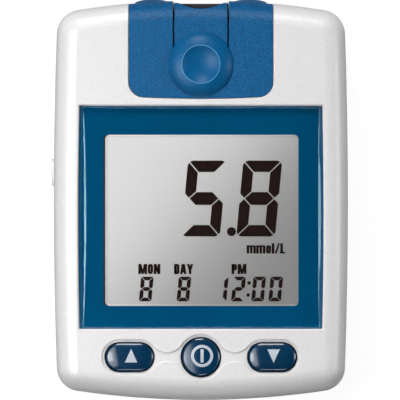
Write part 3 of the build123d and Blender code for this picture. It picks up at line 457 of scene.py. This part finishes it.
def lensSolid():
    # every ring is the lens's outline drawn in by an inset: its half width at y is
    # halfWidth - inset + bow (1 - (y / halfLength)^2), its half length is halfLength less
    # endShare of the inset, and near the corners the insets narrow by pinch (y / halfLength)^2;
    # a bevel at steep degrees, then a roll of the radius given that levels out into the crown:
    # at turn t it lies radius sin(t) out and radius (1 - cos(t)) down
    look = {"bow": 0.26, "bevel": 1.0, "steep": 36.0, "roll": 1.6, "endShare": 0.3, "pinch": 0.55,
            "crown": 0.35, "perSide": 24, "rollSteps": 14, "innerSteps": 10, "last": 0.05}
    low, high = nodeBox("display_lens")
    middleY = (low[1] + high[1]) / 2
    halfLength = (high[1] - low[1]) / 2
    halfWidth = (high[0] - low[0]) / 2 - look["bow"]
    crownRadius = bowRadius(2 * halfLength, look["crown"])

    turn = np.radians(np.linspace(look["steep"], 0, look["rollSteps"]))
    rollWidth = look["roll"] * math.sin(turn[0])
    rollDrop = look["roll"] * (1 - np.cos(turn))
    edgeDrop = rollDrop[0] + look["bevel"] * math.tan(turn[0])
    flatStart = look["bevel"] + rollWidth
    inset = np.concatenate((
        [0, 0], flatStart - look["roll"] * np.sin(turn),
        np.linspace(flatStart, halfWidth - look["last"], look["innerSteps"])[1:]))
    drop = np.concatenate(([0, edgeDrop], rollDrop, np.zeros(look["innerSteps"] - 1)))

    share = np.linspace(-1, 1, look["perSide"], endpoint=False)
    ends = np.ones(look["perSide"])
    across = np.concatenate((share, ends, -share, -ends))
    along = np.concatenate((-ends, share, ends, -share))
    y = np.clip(halfLength - inset * look["endShare"], look["last"], None)[:, None] * along
    bow = look["bow"] * (1 - (y / halfLength) ** 2)
    edge = np.clip(inset, 0, flatStart)[:, None] * (1 - look["pinch"] * (y / halfLength) ** 2)
    x = (halfWidth - edge - np.clip(inset - flatStart, 0, None)[:, None] + bow) * across
    z = high[2] - (crownRadius - np.sqrt(crownRadius ** 2 - y ** 2)) - drop[:, None]
    z[0] = low[2]
    return closedRings(np.stack((x, y + middleY, z), axis=-1))


makePiece("lens", lensSolid(), finishes["clear_lens"],
          stands=["display_lens"], sharpAngle=20)


# Window: a black film under the print, shifted a little so that it shows only along the window's left
# edge as a painted shadow, and a pale bead on the display that carries the display's painted reflection

def roundedOutline(left, right, low, high, corner, perCorner=8):
    # places and outward directions round a rectangle with round corners, anticlockwise: each
    # quarter circle lies corner away from its own centre
    turn = np.linspace(0, np.pi / 2, perCorner) + np.arange(4)[:, None] * np.pi / 2
    outward = np.stack((np.cos(turn), np.sin(turn)), axis=-1)
    left, right, low, high = left + corner, right - corner, low + corner, high - corner
    centres = np.array(((right, high), (left, high), (left, low), (right, low)))
    return (centres[:, None] + corner * outward).reshape(-1, 2), outward.reshape(-1, 2)


def windowPieces():
    # the film is a flat frame reach wide; the bead's section is half an ellipse
    look = {"left": -21.2, "right": 21.2, "low": -23.02, "high": 14.18, "corner": 1.0,
            "shift": 0.42, "shadeReach": 1.6, "shadeHeight": 0.1,
            "beadWidth": 0.3, "beadHeight": 0.14, "beadSteps": 9}
    seat = nodeBox("lcd_front_polariser")[1][2]
    shadeTop = nodeBox("lens_adhesive")[0][2]
    # painted shadow: the black film's hole is moved over by shift, so that a black strip shows only
    # along the window's left edge
    hole = (look["left"] + look["shift"], look["right"] + look["shift"], look["low"], look["high"])
    outline, outward = roundedOutline(*hole, look["corner"])
    reach, shadeLow = look["shadeReach"], shadeTop - look["shadeHeight"]
    shade = [(0, shadeLow), (reach, shadeLow), (reach, shadeTop), (0, shadeTop)]
    film = makePiece("painted_shadow_film", carried(outline, outward, shade), finishes["tape"])
    film.visible_shadow = False
    half = look["beadWidth"] / 2
    turn = np.linspace(0, np.pi, look["beadSteps"])
    bead = np.stack((half * np.cos(turn) - half, seat + look["beadHeight"] * np.sin(turn)), axis=-1)
    makePiece("window_bead", carried(outline, outward, bead), beadGrey)


windowPieces()
print("lens and window made")


# Display figures and words

def drawnIn(outline, distance):
    # every edge of an outline moved inwards by distance; corners are where neighbours then cross
    edge = np.roll(outline, -1, axis=0) - outline
    edge = edge / np.linalg.norm(edge, axis=1, keepdims=True)
    inward = np.stack((-edge[:, 1], edge[:, 0]), axis=-1)
    before, beforeIn = np.roll(edge, 1, axis=0), np.roll(inward, 1, axis=0)
    bend = before[:, 0] * edge[:, 1] - before[:, 1] * edge[:, 0]
    gap = distance * (inward - beforeIn)
    step = (gap[:, 0] * edge[:, 1] - gap[:, 1] * edge[:, 0]) / bend
    return outline + distance * beforeIn + step[:, None] * before


def figureSegments(size):
    # the seven segments of a figure, a to g, as outlines that meet in mitres:
    # across is the thickness of the level ones, upright of the others, middle of g
    w, h, cut, tip = size["width"], size["height"], size["cut"], size["tip"]
    m, u, a, g = h / 2, size["upright"], size["across"], size["middle"] / 2
    cornerX, cornerY = cut / 3, h - cut / 3
    top = [(w - cut, h), (cut, h), (cornerX, cornerY), (u, h - a), (w - u, h - a),
           (w - cornerX, cornerY)]
    leftUp = [(0, h - cut), (0, m + tip), (tip, m), (u, m + g), (u, h - a), (cornerX, cornerY)]
    centre = [(tip, m), (u, m - g), (w - u, m - g), (w - tip, m), (w - u, m + g), (u, m + g)]
    flipX = lambda outline: [(w - x, y) for x, y in reversed(outline)]
    flipY = lambda outline: [(x, h - y) for x, y in reversed(outline)]
    rightUp = flipX(leftUp)
    return {"a": top, "b": rightUp, "c": flipY(rightUp), "d": flipY(top),
            "e": flipY(leftUp), "f": leftUp, "g": centre}


litSegments = {"0": "abcdef", "1": "bc", "2": "abdeg", "5": "acdfg", "8": "abcdefg"}
figures = {
    "slant": 0.095, "thickness": 0.03,
    "large": {"width": 8.69, "height": 16.7, "across": 2.7, "upright": 2.6, "middle": 3.0,
              "cut": 1.1, "tip": 1.05, "gap": 0.22, "base": -8.03,
              "places": [("5", -4.47), ("8", 7.55)]},
    "small": {"width": 2.83, "height": 5.45, "across": 0.9, "upright": 0.95, "middle": 0.95,
              "cut": 0.36, "tip": 0.4, "gap": 0.1, "base": -22.055,
              "places": [("8", -13.555), ("8", -5.365), ("1", 2.745), ("2", 6.495),
                         ("0", 10.875), ("0", 14.605)]},
    "dotSteps": 32,
    "dots": [(6.65, -6.88, 0.98), (10.49, -18.02, 0.38), (10.27, -20.64, 0.38)],
    "words": [("mmol/L", 10.02, 18.2, -11.62, -9.4), ("MON", -13.54, -8.9, -16.08, -13.90),
              ("DAY", -5.76, -1.72, -16.08, -13.90), ("PM", 6.74, 9.83, -16.08, -13.90)],
}

# Letters one unit high: width, bars and rings. A bar is its foot (x, y), head (x, y), width and,
# where it tapers, width at the head; a ring is left, right, low, high, corner and stem.
letters = {
    "M": (0.8, [(0.1, 0, 0.1, 1, 0.2), (0.7, 0, 0.7, 1, 0.2), (0.4, 0, 0.18, 1, 0.15),
                (0.4, 0, 0.62, 1, 0.15)], []),
    "O": (0.53, [], [(0, 0.53, 0, 1, 0.24, 0.19)]),
    "N": (0.58, [(0.1, 0, 0.1, 1, 0.2), (0.48, 0, 0.48, 1, 0.2), (0.46, 0, 0.12, 1, 0.17)], []),
    "D": (0.53, [(0.1, 0, 0.1, 1, 0.2)], [(0, 0.53, 0, 1, 0.2, 0.19)]),
    "A": (0.62, [(0.1, 0, 0.28, 1, 0.2), (0.52, 0, 0.34, 1, 0.2), (0.31, 0.2, 0.31, 0.36, 0.3)], []),
    "Y": (0.62, [(0.31, 0, 0.31, 0.45, 0.2), (0.3, 0.38, 0.1, 1, 0.2), (0.32, 0.38, 0.52, 1, 0.2)], []),
    "P": (0.5, [(0.1, 0, 0.1, 1, 0.2)], [(0, 0.5, 0.38, 1, 0.18, 0.18)]),
    "L": (0.4, [(0.1, 0, 0.1, 1, 0.2), (0.2, 0, 0.2, 0.17, 0.4)], []),
    "l": (0.2, [(0.1, 0, 0.1, 1, 0.2)], []),
    "/": (0.46, [(0.07, 0, 0.39, 1, 0.14)], []),
    "o": (0.5, [], [(0, 0.5, 0, 0.8, 0.2, 0.18)]),
    "m": (0.86, [(0.095, 0, 0.095, 0.8, 0.19), (0.43, 0, 0.43, 0.69, 0.19),
                 (0.765, 0, 0.765, 0.69, 0.19), (0.43, 0.69, 0.4, 0.8, 0.19, 0.13),
                 (0.765, 0.69, 0.735, 0.8, 0.19, 0.13), (0.22, 0.64, 0.22, 0.8, 0.36),
                 (0.55, 0.64, 0.55, 0.8, 0.36)], []),
}
wordLook = {"gap": 0.1, "weight": 1.35, "levelShare": 0.6, "innerCorner": 0.3, "perCorner": 6}


def figureSet(size, seat):
    # figures side by side: each place leans over by slant times its height
    segments = figureSegments(size)
    parts = []
    for figure, left in size["places"]:
        for letter in litSegments[figure]:
            outline = drawnIn(np.array(segments[letter], float), size["gap"] / 2)
            outline[:, 0] += left + figures["slant"] * outline[:, 1]
            outline[:, 1] += size["base"]
            parts.append(flatSolid(outline, seat, seat + figures["thickness"]))
    return joined(parts)


def displayWord(word, left, right, low, high, seat, look=wordLook):
    # a word laid out from its letters and stretched to its box
    top = seat + figures["thickness"]
    length = sum(letters[c][0] + look["gap"] for c in word) - look["gap"]
    scale = np.array(((right - left) / length, high - low))
    parts, pen = [], 0.0
    for letter in word:
        width, bars, rings = letters[letter]
        start = np.array((left, low)) + np.array((pen, 0)) * scale
        for footX, footY, headX, headY, foot, *taper in bars:
            head = (taper or [foot])[0] * look["weight"]
            foot *= look["weight"]
            bar = np.array([(footX - foot / 2, footY), (footX + foot / 2, footY),
                            (headX + head / 2, headY), (headX - head / 2, headY)])
            parts.append(flatSolid(start + bar * scale, seat, top))
        for x0, x1, y0, y1, corner, stem in rings:
            stem *= look["weight"]
            level = stem * look["levelShare"]
            outer, _ = roundedOutline(x0, x1, y0, y1, corner, look["perCorner"])
            inner, _ = roundedOutline(x0 + stem, x1 - stem, y0 + level, y1 - level,
                                      corner * look["innerCorner"], look["perCorner"])
            corners = ((inner, seat), (outer, seat), (outer, top), (inner, top))
            tube = [np.insert(start + shape * scale, 2, height, axis=1) for shape, height in corners]
            parts.append((np.concatenate(tube), gridFaces(4, len(outer), True).tolist()))
        pen += width + look["gap"]
    return joined(parts)


def displayPieces():
    # figures, dots and words of ink on the front film, each a thin solid
    seat = nodeBox("lcd_front_polariser")[1][2]
    high = seat + figures["thickness"]
    dots = [turned([(0, seat), (radius, seat), (radius, high), (0, high)], (x, y), figures["dotSteps"])
            for x, y, radius in figures["dots"]]
    inked = {
        "display_figures": figureSet(figures["large"], seat),
        "display_clock": figureSet(figures["small"], seat),
        "display_dots": joined(dots),
        "display_words": joined([displayWord(*word, seat) for word in figures["words"]]),
    }
    for name, solid in inked.items():
        makePiece(name, solid, displayInk)


displayPieces()
print("display figures made")


# Thumb knob

def knobSolid():
    # turned profile: dish, rolled rim, a flank that bends down from start to end towards
    # turnPoint as start (1-u)^2 + turnPoint 2u(1-u) + end u^2, a rolled foot and the stem
    look = {"height": 1.75, "stem": 3.6, "dish": 8.2, "dishDepth": 1.15, "dishShort": 2.5,
            "rim": 0.16, "rimIn": 0.35, "rimStart": 150, "rimEnd": 58, "foot": 0.2, "footIn": 0.3,
            "shoulder": (6.05, 1.2), "dishSteps": 24, "rimSteps": 9, "flankSteps": 26, "round": 144}
    low, high = nodeBox("ejector_knob")
    centre = (low[:2] + high[:2]) / 2
    outer, top = (high[0] - low[0]) / 2, high[2]
    base = top - look["height"]
    dish, rim, foot = look["dish"] / 2, look["rim"], look["foot"]
    dishRadius = bowRadius(look["dish"], look["dishDepth"])
    dishCentre = (0, top + dishRadius - look["dishDepth"])
    lip = math.degrees(math.asin(dish / dishRadius))
    dishLine = arc(dishCentre, dishRadius, -90, -90 + lip - look["dishShort"], look["dishSteps"])
    rimCentre = (dish + rim * look["rimIn"], top - rim)
    rimLine = arc(rimCentre, rim, look["rimStart"], look["rimEnd"], look["rimSteps"])
    start, end = rimLine[-1], np.array((outer - foot * look["footIn"], base + foot))
    turnPoint = np.array(look["shoulder"]) + (0, base)
    share = np.linspace(0, 1, look["flankSteps"])[1:, None]
    flank = start * (1 - share) ** 2 + turnPoint * 2 * share * (1 - share) + end * share ** 2
    footLine = [(outer, base + foot / 2), (outer - foot / 2, base)]
    stem = [(look["stem"] / 2, base), (look["stem"] / 2, low[2]), (0, low[2])]
    profile = np.concatenate((dishLine, rimLine, flank, footLine, stem))
    return turned(profile, centre, look["round"])


makePiece("thumb_knob", knobSolid(), finishes["blue_knob"], "ejector", ["ejector_knob"],
          sharpAngle=50)
print("knob made")


# Keys

keyLook = {"flange": 0.7, "flangeWall": 0.8, "edge": 0.1, "bevel": 0.36, "bevelRise": 0.17,
           "grooveWidth": 0.06, "grooveDepth": 0.03, "edgeIn": 0.03, "domeRise": 0.42,
           "domeSteps": 18, "round": 160}
keySigns = {"triangleWidth": 2.7, "triangleHeight": 2.95, "up": (-15.17, -35.3),
            "down": (15.80, -32.45), "ring": (0.25, -33.88), "ringOuter": 2.4, "ringInner": 1.78,
            "barWidth": 0.68, "barHeight": 2.85, "ink": 0.01, "patchSteps": 14, "ringSteps": 72}


def slotOutline(width, height, count):
    # places and outward directions of a straight-sided slot; a circle where width is height
    outward = circle(count, np.pi / count)
    places = outward * height / 2
    places[:, 0] += np.sign(outward[:, 0]) * (width - height) / 2
    return places, outward


def capPlan(node):
    # corners of a key's box, and the middle, width and height of the cap that rises from its flange
    low, high = nodeBox(node)
    width, height = (high - low)[:2] - 2 * keyLook["flange"]
    return low, high, (low[:2] + high[:2]) / 2, width, height


def domeHeight(inset, reach, top):
    # height of a cap's dome at an inset from its outline: a circular arc that is level over the
    # middle line, reach from the outline, and falls by domeRise at the bevel
    span = reach - keyLook["bevel"]
    radius = bowRadius(2 * span, keyLook["domeRise"])
    across = np.clip(reach - inset, 0, span)
    return top - radius + np.sqrt(radius ** 2 - across ** 2)


def keySolid(node, look=keyLook):
    # rings round a slot outline, each drawn in by an inset: flange, wall, bevel, an engraved
    # line, and the dome in steps that close up towards the middle line
    low, high, centre, width, height = capPlan(node)
    reach, top = height / 2, high[2]
    outline, outward = slotOutline(width, height, look["round"])
    rimTop = top - look["domeRise"]
    wallTop = rimTop - look["bevelRise"]
    flangeTop = low[2] + look["flangeWall"]
    profile = [(-look["flange"], low[2]), (-look["flange"], flangeTop), (0, flangeTop),
               (0, wallTop - look["edge"]), (look["edgeIn"], wallTop),
               (look["bevel"] - look["grooveWidth"], rimTop),
               (look["bevel"], rimTop - look["grooveDepth"])]
    inset = reach - (reach - look["bevel"]) * np.cos(np.linspace(0, np.pi / 2, look["domeSteps"]))
    profile += list(zip(inset[1:], domeHeight(inset[1:], reach, top)))
    return closedRings(swept(centre + outline, -outward, profile))


def onDome(places, node, lift):
    # carries flat (x, y) places onto a cap's dome, lift above it
    low, high, centre, width, height = capPlan(node)
    fromMiddle = np.abs(places - centre)
    fromMiddle[:, 0] = np.clip(fromMiddle[:, 0] - (width - height) / 2, 0, None)
    inset = height / 2 - np.linalg.norm(fromMiddle, axis=1)
    return np.column_stack((places, domeHeight(inset, height / 2, high[2]) + lift))


def printedPatch(corners, node):
    # a four-sided patch on a dome: place (u, v) is the blend of its corners, (1-u)(1-v) and so
    # on; a shell as thick as the ink, closed round its edge
    steps = keySigns["patchSteps"]
    u, v = np.meshgrid(np.linspace(0, 1, steps), np.linspace(0, 1, steps), indexing="ij")
    a, b, c, d = [np.array(corner, float) for corner in corners]
    u, v = u.reshape(-1, 1), v.reshape(-1, 1)
    flat = a * (1 - u) * (1 - v) + b * u * (1 - v) + c * u * v + d * (1 - u) * v
    index, cells = patchFaces(steps)
    rim = np.concatenate((index[:-1, 0], index[-1, :-1], index[:0:-1, -1], index[0, :0:-1]))
    beside = np.roll(rim, -1)
    count = steps * steps
    walls = np.stack((rim, beside, beside + count, rim + count), axis=-1)
    faces = np.concatenate((cells, cells + count, walls)).tolist()
    return np.concatenate((onDome(flat, node, 0.0), onDome(flat, node, keySigns["ink"]))), faces


def printedRing(centre, outer, inner, node):
    # a flat ring on a dome: places at radius inner and outer, below and above the ink
    direction = circle(keySigns["ringSteps"])
    corners = ((inner, 0.0), (outer, 0.0), (outer, keySigns["ink"]), (inner, keySigns["ink"]))
    rings = [onDome(np.array(centre) + radius * direction, node, lift) for radius, lift in corners]
    return np.concatenate(rings), gridFaces(len(corners), len(direction), True).tolist()


def keyPieces():
    for key in ("up", "power", "down"):
        node, body = f"{key}_key", f"{key}_button"
        makePiece(f"{key}_cap", keySolid(node), finishes["key_plastic"], body, [node],
                  sharpAngle=30)
    half = keySigns["triangleWidth"] / 2
    for key, rise in (("up", 1), ("down", -1)):
        x, y = keySigns[key]
        tip = y + rise * keySigns["triangleHeight"]
        corners = [(x - half, y), (x, y), (x + half, y), (x, tip)]
        sign = printedPatch(corners, f"{key}_key")
        makePiece(f"{key}_sign", sign, keyPrint, f"{key}_button")
    x, y = keySigns["ring"]
    bar, tall = keySigns["barWidth"] / 2, keySigns["barHeight"] / 2
    corners = [(x - bar, y - tall), (x + bar, y - tall), (x + bar, y + tall), (x - bar, y + tall)]
    sign = joined([
        printedPatch(corners, "power_key"),
        printedRing((x, y), keySigns["ringOuter"], keySigns["ringInner"], "power_key"),
    ])
    makePiece("power_sign", sign, keyPrint, "power_button")


keyPieces()
print("keys made")


# Springs and cells

def coilSolid(start, axis, diameter, wire, turns, length, closed=0.7, perTurn=28, around=10):
    # a round wire carried along a helix: the middle line at turn t is
    # (r cos t, r sin t, length t / (2 pi turns)), with closed turns lying flat at both ends
    radius = (diameter - wire) / 2
    steps = int(turns * perTurn)
    t = np.linspace(0, 2 * np.pi * turns, steps)
    share = t / t[-1]
    ease = 2 * closed / turns
    rise = (length - wire) * np.clip((share - ease / 2) / (1 - ease), 0, 1) + wire / 2
    line = np.stack((radius * np.cos(t), radius * np.sin(t), rise), axis=-1)
    out = np.stack((np.cos(t), np.sin(t), np.zeros(steps)), axis=-1)
    up = np.array((0, 0, 1.0))
    side = circle(around)
    rings = line[:, None] + wire / 2 * (side[:, :1] * out[:, None] + side[:, 1:] * up)
    x, y, z = rings[..., 0], rings[..., 1], rings[..., 2] * axis
    placed = np.stack((start[0] + x, start[1] + z, start[2] - y * axis), axis=-1)
    return closedRings(placed)


def cellSolid(low, high, nubUp):
    # turned profile of a dry cell along Y: rolled jacket edges, a recessed end, the nub
    look = {"nub": 1.9, "nubHeight": 1.0, "nubRoll": 0.3, "nubFoot": 0.5, "nubRise": 0.2, "roll": 0.35,
            "recess": 0.25, "lip": 0.9, "footSlope": 0.15, "crownSlope": 0.1, "rollSteps": 6,
            "nubSteps": 5, "round": 72}
    radius, length = (high[0] - low[0]) / 2, high[1] - low[1]
    roll, lip, recess, nubRoll = look["roll"], radius - look["lip"], look["recess"], look["nubRoll"]
    body = length - look["nubHeight"]
    foot = [(0, recess), (lip, recess), (lip + look["footSlope"], 0)]
    foot += list(arc((radius - roll, roll), roll, -90, 0, look["rollSteps"]))
    shoulder = list(arc((radius - roll, body - roll), roll, 0, 90, look["rollSteps"]))
    crown = [(lip, body), (lip - look["crownSlope"], body - recess),
             (look["nub"] + look["nubFoot"], body - recess)]
    nub = [(look["nub"], body - recess + look["nubRise"])]
    nub += list(arc((look["nub"] - nubRoll, length - nubRoll), nubRoll, 0, 90, look["nubSteps"]))
    places, faces = turned(foot + shoulder + crown + nub + [(0, length)], (0, 0), look["round"])
    x, y, z = places.T
    along = low[1] + z if nubUp else high[1] - z
    middle = (low + high) / 2
    return np.stack((middle[0] + x, along, middle[2] + y), axis=-1), faces


def jacketFilm():
    # plain film: a copper-coloured shoulder at the nub's end of each cell, black for the rest;
    # the cells lie side by side the opposite way round, so their ends swap with the sign of x
    look = {"black": (0.018, 0.018, 0.022), "copper": (0.5, 0.25, 0.11), "roughness": 0.22,
            "metal": 0.55, "middle": -12.4, "split": 9.1, "soft": 0.1,
            "grain": 1.5, "depth": 0.004, "strength": 0.3}
    finish = Finish("jacketFilm", look["black"], look["roughness"], Metallic=look["metal"])
    side = finish.maths("SIGN", finish.fed("ShaderNodeSeparateXYZ", "X", finish.place))
    y = finish.fed("ShaderNodeSeparateXYZ", "Y", finish.place)
    fromNub = finish.maths("MULTIPLY", finish.maths("SUBTRACT", y, look["middle"] * mm), side)
    start, end = -(look["split"] + look["soft"]) * mm, -(look["split"] - look["soft"]) * mm
    finish.blend(finish.spread(fromNub, start, end, 1, 0), look["black"], look["copper"])
    finish.relief(finish.noise(look["grain"]), look["depth"], look["strength"])
    return finish.material


def powerPieces():
    # two cells head to tail, with a spring at each one's flat end
    look = {"diameter": 6.0, "wire": 0.5, "turns": 4.0, "length": 2.8}
    jacket = jacketFilm()
    for number, nubUp in ((1, True), (2, False)):
        node = f"battery_{number}"
        cell = cellSolid(*nodeBox(node), nubUp)
        makePiece(f"cell_{number}", cell, jacket, "case", [node])
    low, high = nodeBox("battery_springs")
    cellLow, cellHigh = nodeBox("battery_2")
    middle = (cellLow + cellHigh) / 2
    starts = (((-middle[0], low[1], middle[2]), 1), ((middle[0], high[1], middle[2]), -1))
    coils = joined([coilSolid(start, axis, **look) for start, axis in starts])
    makePiece("cell_springs", coils, finishes["spring_steel"], "case",
              ["battery_springs"])


def returnSprings():
    # two springs side by side, at their full length
    look = {"wire": 0.35, "turns": 9.0, "travel": 4.5}
    low, high = nodeBox("ejector_springs")
    diameter = high[2] - low[2]
    middleX = high[0] - diameter / 2
    middleZ = (low[2] + high[2]) / 2
    length = high[1] - low[1]
    coils = joined([
        coilSolid((side * middleX, low[1], middleZ), 1, diameter, look["wire"], look["turns"], length)
        for side in (-1, 1)])
    piece = makePiece("return_springs", coils, finishes["spring_steel"], "case",
                      ["ejector_springs"])
    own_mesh(piece)


def rubberDomes():
    # thin turned webs under the keys, in their rest shape
    look = {"web": 0.35, "bulge": 0.12, "travel": 0.6, "steps": 12, "round": 64}
    for key in ("up", "power", "down"):
        node = f"{key}_dome"
        low, high = nodeBox(node)
        centre = (low[:2] + high[:2]) / 2
        outer = (high[0] - low[0]) / 2
        plungerLow, plungerHigh = nodeBox(f"{key}_plunger")
        inner = (plungerHigh[0] - plungerLow[0]) / 2
        share = np.linspace(0, 1, look["steps"])
        radius = outer + (inner - outer) * share
        rise = share + look["bulge"] * np.sin(np.pi * share)
        span = high[2] - low[2] - look["web"]
        upper = np.stack((radius, low[2] + look["web"] + span * rise), axis=-1)
        lower = np.stack((radius, low[2] + span * rise), axis=-1)[::-1]
        web = carried(centre, circle(look["round"]), np.concatenate((upper, lower)))
        piece = makePiece(f"{key}_web", web, finishes["silicone"], "case", [node])
        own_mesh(piece)


powerPieces()
returnSprings()
rubberDomes()
print("springs, cells and domes made")


# Studio

studio = {
    "floorSize": 1.6, "floorSteps": 9, "floorDrop": 0.05, "floorColour": (0.16, 0.16, 0.16),
    "floorRoughness": 0.9, "floorGlow": 0.9, "bounce": 0.22, "aimHeight": 20.0,
    "lens": 1500.0, "sensor": 36.0, "viewSide": 87.2, "viewCentre": (-0.196, 0.0, 10.0),
    "dim": 0.03, "dimTop": 0.7, "bright": 0.05, "brightTop": (0.3, 0.42),
}

# Lamps: direction round from +X and down from overhead in degrees, distance, width and height in
# metres, and the level that each lamp alone gives a white card lying flat. A sheen lamp shows in
# reflections only.
lamps = {
    "westLamp": (190, 38, 0.30, 0.14, 0.14, 0.47),
    "westSheen": (190, 33, 0.30, 0.34, 0.20, 0.85),
    "northLamp": (95, 54, 0.90, 0.32, 0.32, 0.38),
    "eastLamp": (0, 70, 0.60, 0.20, 0.20, 0.09),
    "southLamp": (270, 77, 0.60, 0.12, 0.12, 0.015),
    "underLamp": (0, 180, 0.60, 0.50, 0.50, 0.5),
}


def studioFloor():
    # floor just under the meter: it lights what stands on it evenly, shows the eye plain white
    # with the meter's shadow, and is open from below and to lamps
    half = studio["floorSize"] / 2
    side = np.linspace(-half, half, studio["floorSteps"])
    x, y = np.meshgrid(side, side, indexing="ij")
    places = np.stack((x, y, np.full_like(x, -studio["floorDrop"] * mm)), axis=-1).reshape(-1, 3)
    cells = patchFaces(studio["floorSteps"])[1]
    mesh = bpy.data.meshes.new("floor")
    mesh.from_pydata(places.tolist(), [], cells.tolist())
    floor = bpy.data.objects.new("floor", mesh)
    bpy.context.scene.collection.objects.link(floor)
    finish = Finish("floorCard", studio["floorColour"], studio["floorRoughness"])
    path = finish.node("ShaderNodeLightPath")
    seen = finish.maths("MAXIMUM", path.outputs["Is Camera Ray"], path.outputs["Is Transmission Ray"])
    glow = finish.node("ShaderNodeEmission", {"Strength": studio["floorGlow"]})
    lifted = finish.fed("ShaderNodeAddShader", "Shader", finish.shader.outputs["BSDF"],
                        glow.outputs["Emission"])
    bounce = finish.node("ShaderNodeEmission", {"Strength": studio["bounce"]})
    shown = finish.mixed(seen, bounce.outputs["Emission"], lifted)
    below = finish.node("ShaderNodeNewGeometry").outputs["Backfacing"]
    openTo = finish.maths("MAXIMUM", below, path.outputs["Is Shadow Ray"])
    clear = finish.node("ShaderNodeBsdfTransparent")
    finish.link(finish.mixed(openTo, shown, clear.outputs["BSDF"]), finish.surface)
    mesh.materials.append(finish.material)


def studioSky():
    # plain white to the eye; reflections see white low down and dark overhead; a dim light falls
    # from all round but the top
    world = bpy.data.worlds.new("studioSky")
    bpy.context.scene.world = world
    world.use_nodes = True
    sky = Graph(world.node_tree)
    sky.nodes.clear()
    place = sky.node("ShaderNodeTexCoord").outputs["Generated"]
    height = sky.fed("ShaderNodeSeparateXYZ", "Z", place)
    dim = sky.spread(height, 0.0, studio["dimTop"], studio["dim"], 0.0)
    bright = sky.spread(height, *studio["brightTop"], studio["bright"], 0.0)
    path = sky.node("ShaderNodeLightPath")
    mirrored = sky.maths("MAXIMUM", path.outputs["Is Glossy Ray"], path.outputs["Is Transmission Ray"])
    level = sky.node("ShaderNodeMix", data_type="FLOAT")
    sky.link(mirrored, level.inputs["Factor"])
    sky.link(dim, level.inputs["A"])
    sky.link(bright, level.inputs["B"])
    lit = sky.fed("ShaderNodeBackground", "Background", (1, 1, 1, 1), level.outputs["Result"])
    plain = sky.fed("ShaderNodeBackground", "Background", (1, 1, 1, 1))
    shown = sky.mixed(path.outputs["Is Camera Ray"], lit, plain)
    sky.link(shown, sky.node("ShaderNodeOutputWorld").inputs["Surface"])


def studioLamps():
    # a lamp of power p at distance d and angle a from overhead gives a flat white card the level
    # p cos(a) / (pi d)^2
    for name, (around, down, distance, width, height, level) in lamps.items():
        a, b = math.radians(around), math.radians(down)
        light = bpy.data.lights.new(name, "AREA")
        light.shape = "RECTANGLE"
        light.size = width
        light.size_y = height
        light.energy = level * (math.pi * distance) ** 2 / abs(math.cos(b))
        lamp = bpy.data.objects.new(name, light)
        lamp.location = (distance * math.sin(b) * math.cos(a), distance * math.sin(b) * math.sin(a),
                         distance * math.cos(b) + studio["aimHeight"] * mm)
        lamp.rotation_euler = (b, 0, a + math.pi / 2)
        lamp.visible_camera = False
        lamp.visible_diffuse = not name.endswith("Sheen")
        bpy.context.scene.collection.objects.link(lamp)


def studioCamera():
    # straight above, far off with a long lens, so that the picture is nearly parallel
    data = bpy.data.cameras.new("camera")
    data.lens = studio["lens"]
    data.sensor_width = studio["sensor"]
    camera = bpy.data.objects.new("camera", data)
    x, y, z = [c * mm for c in studio["viewCentre"]]
    distance = studio["viewSide"] * mm * studio["lens"] / studio["sensor"]
    camera.location = (x, y, z + distance)
    bpy.context.scene.collection.objects.link(camera)
    bpy.context.scene.camera = camera


studioFloor()
studioSky()
studioLamps()
studioCamera()
bpy.context.scene.view_settings.view_transform = "Standard"
print("studio made")
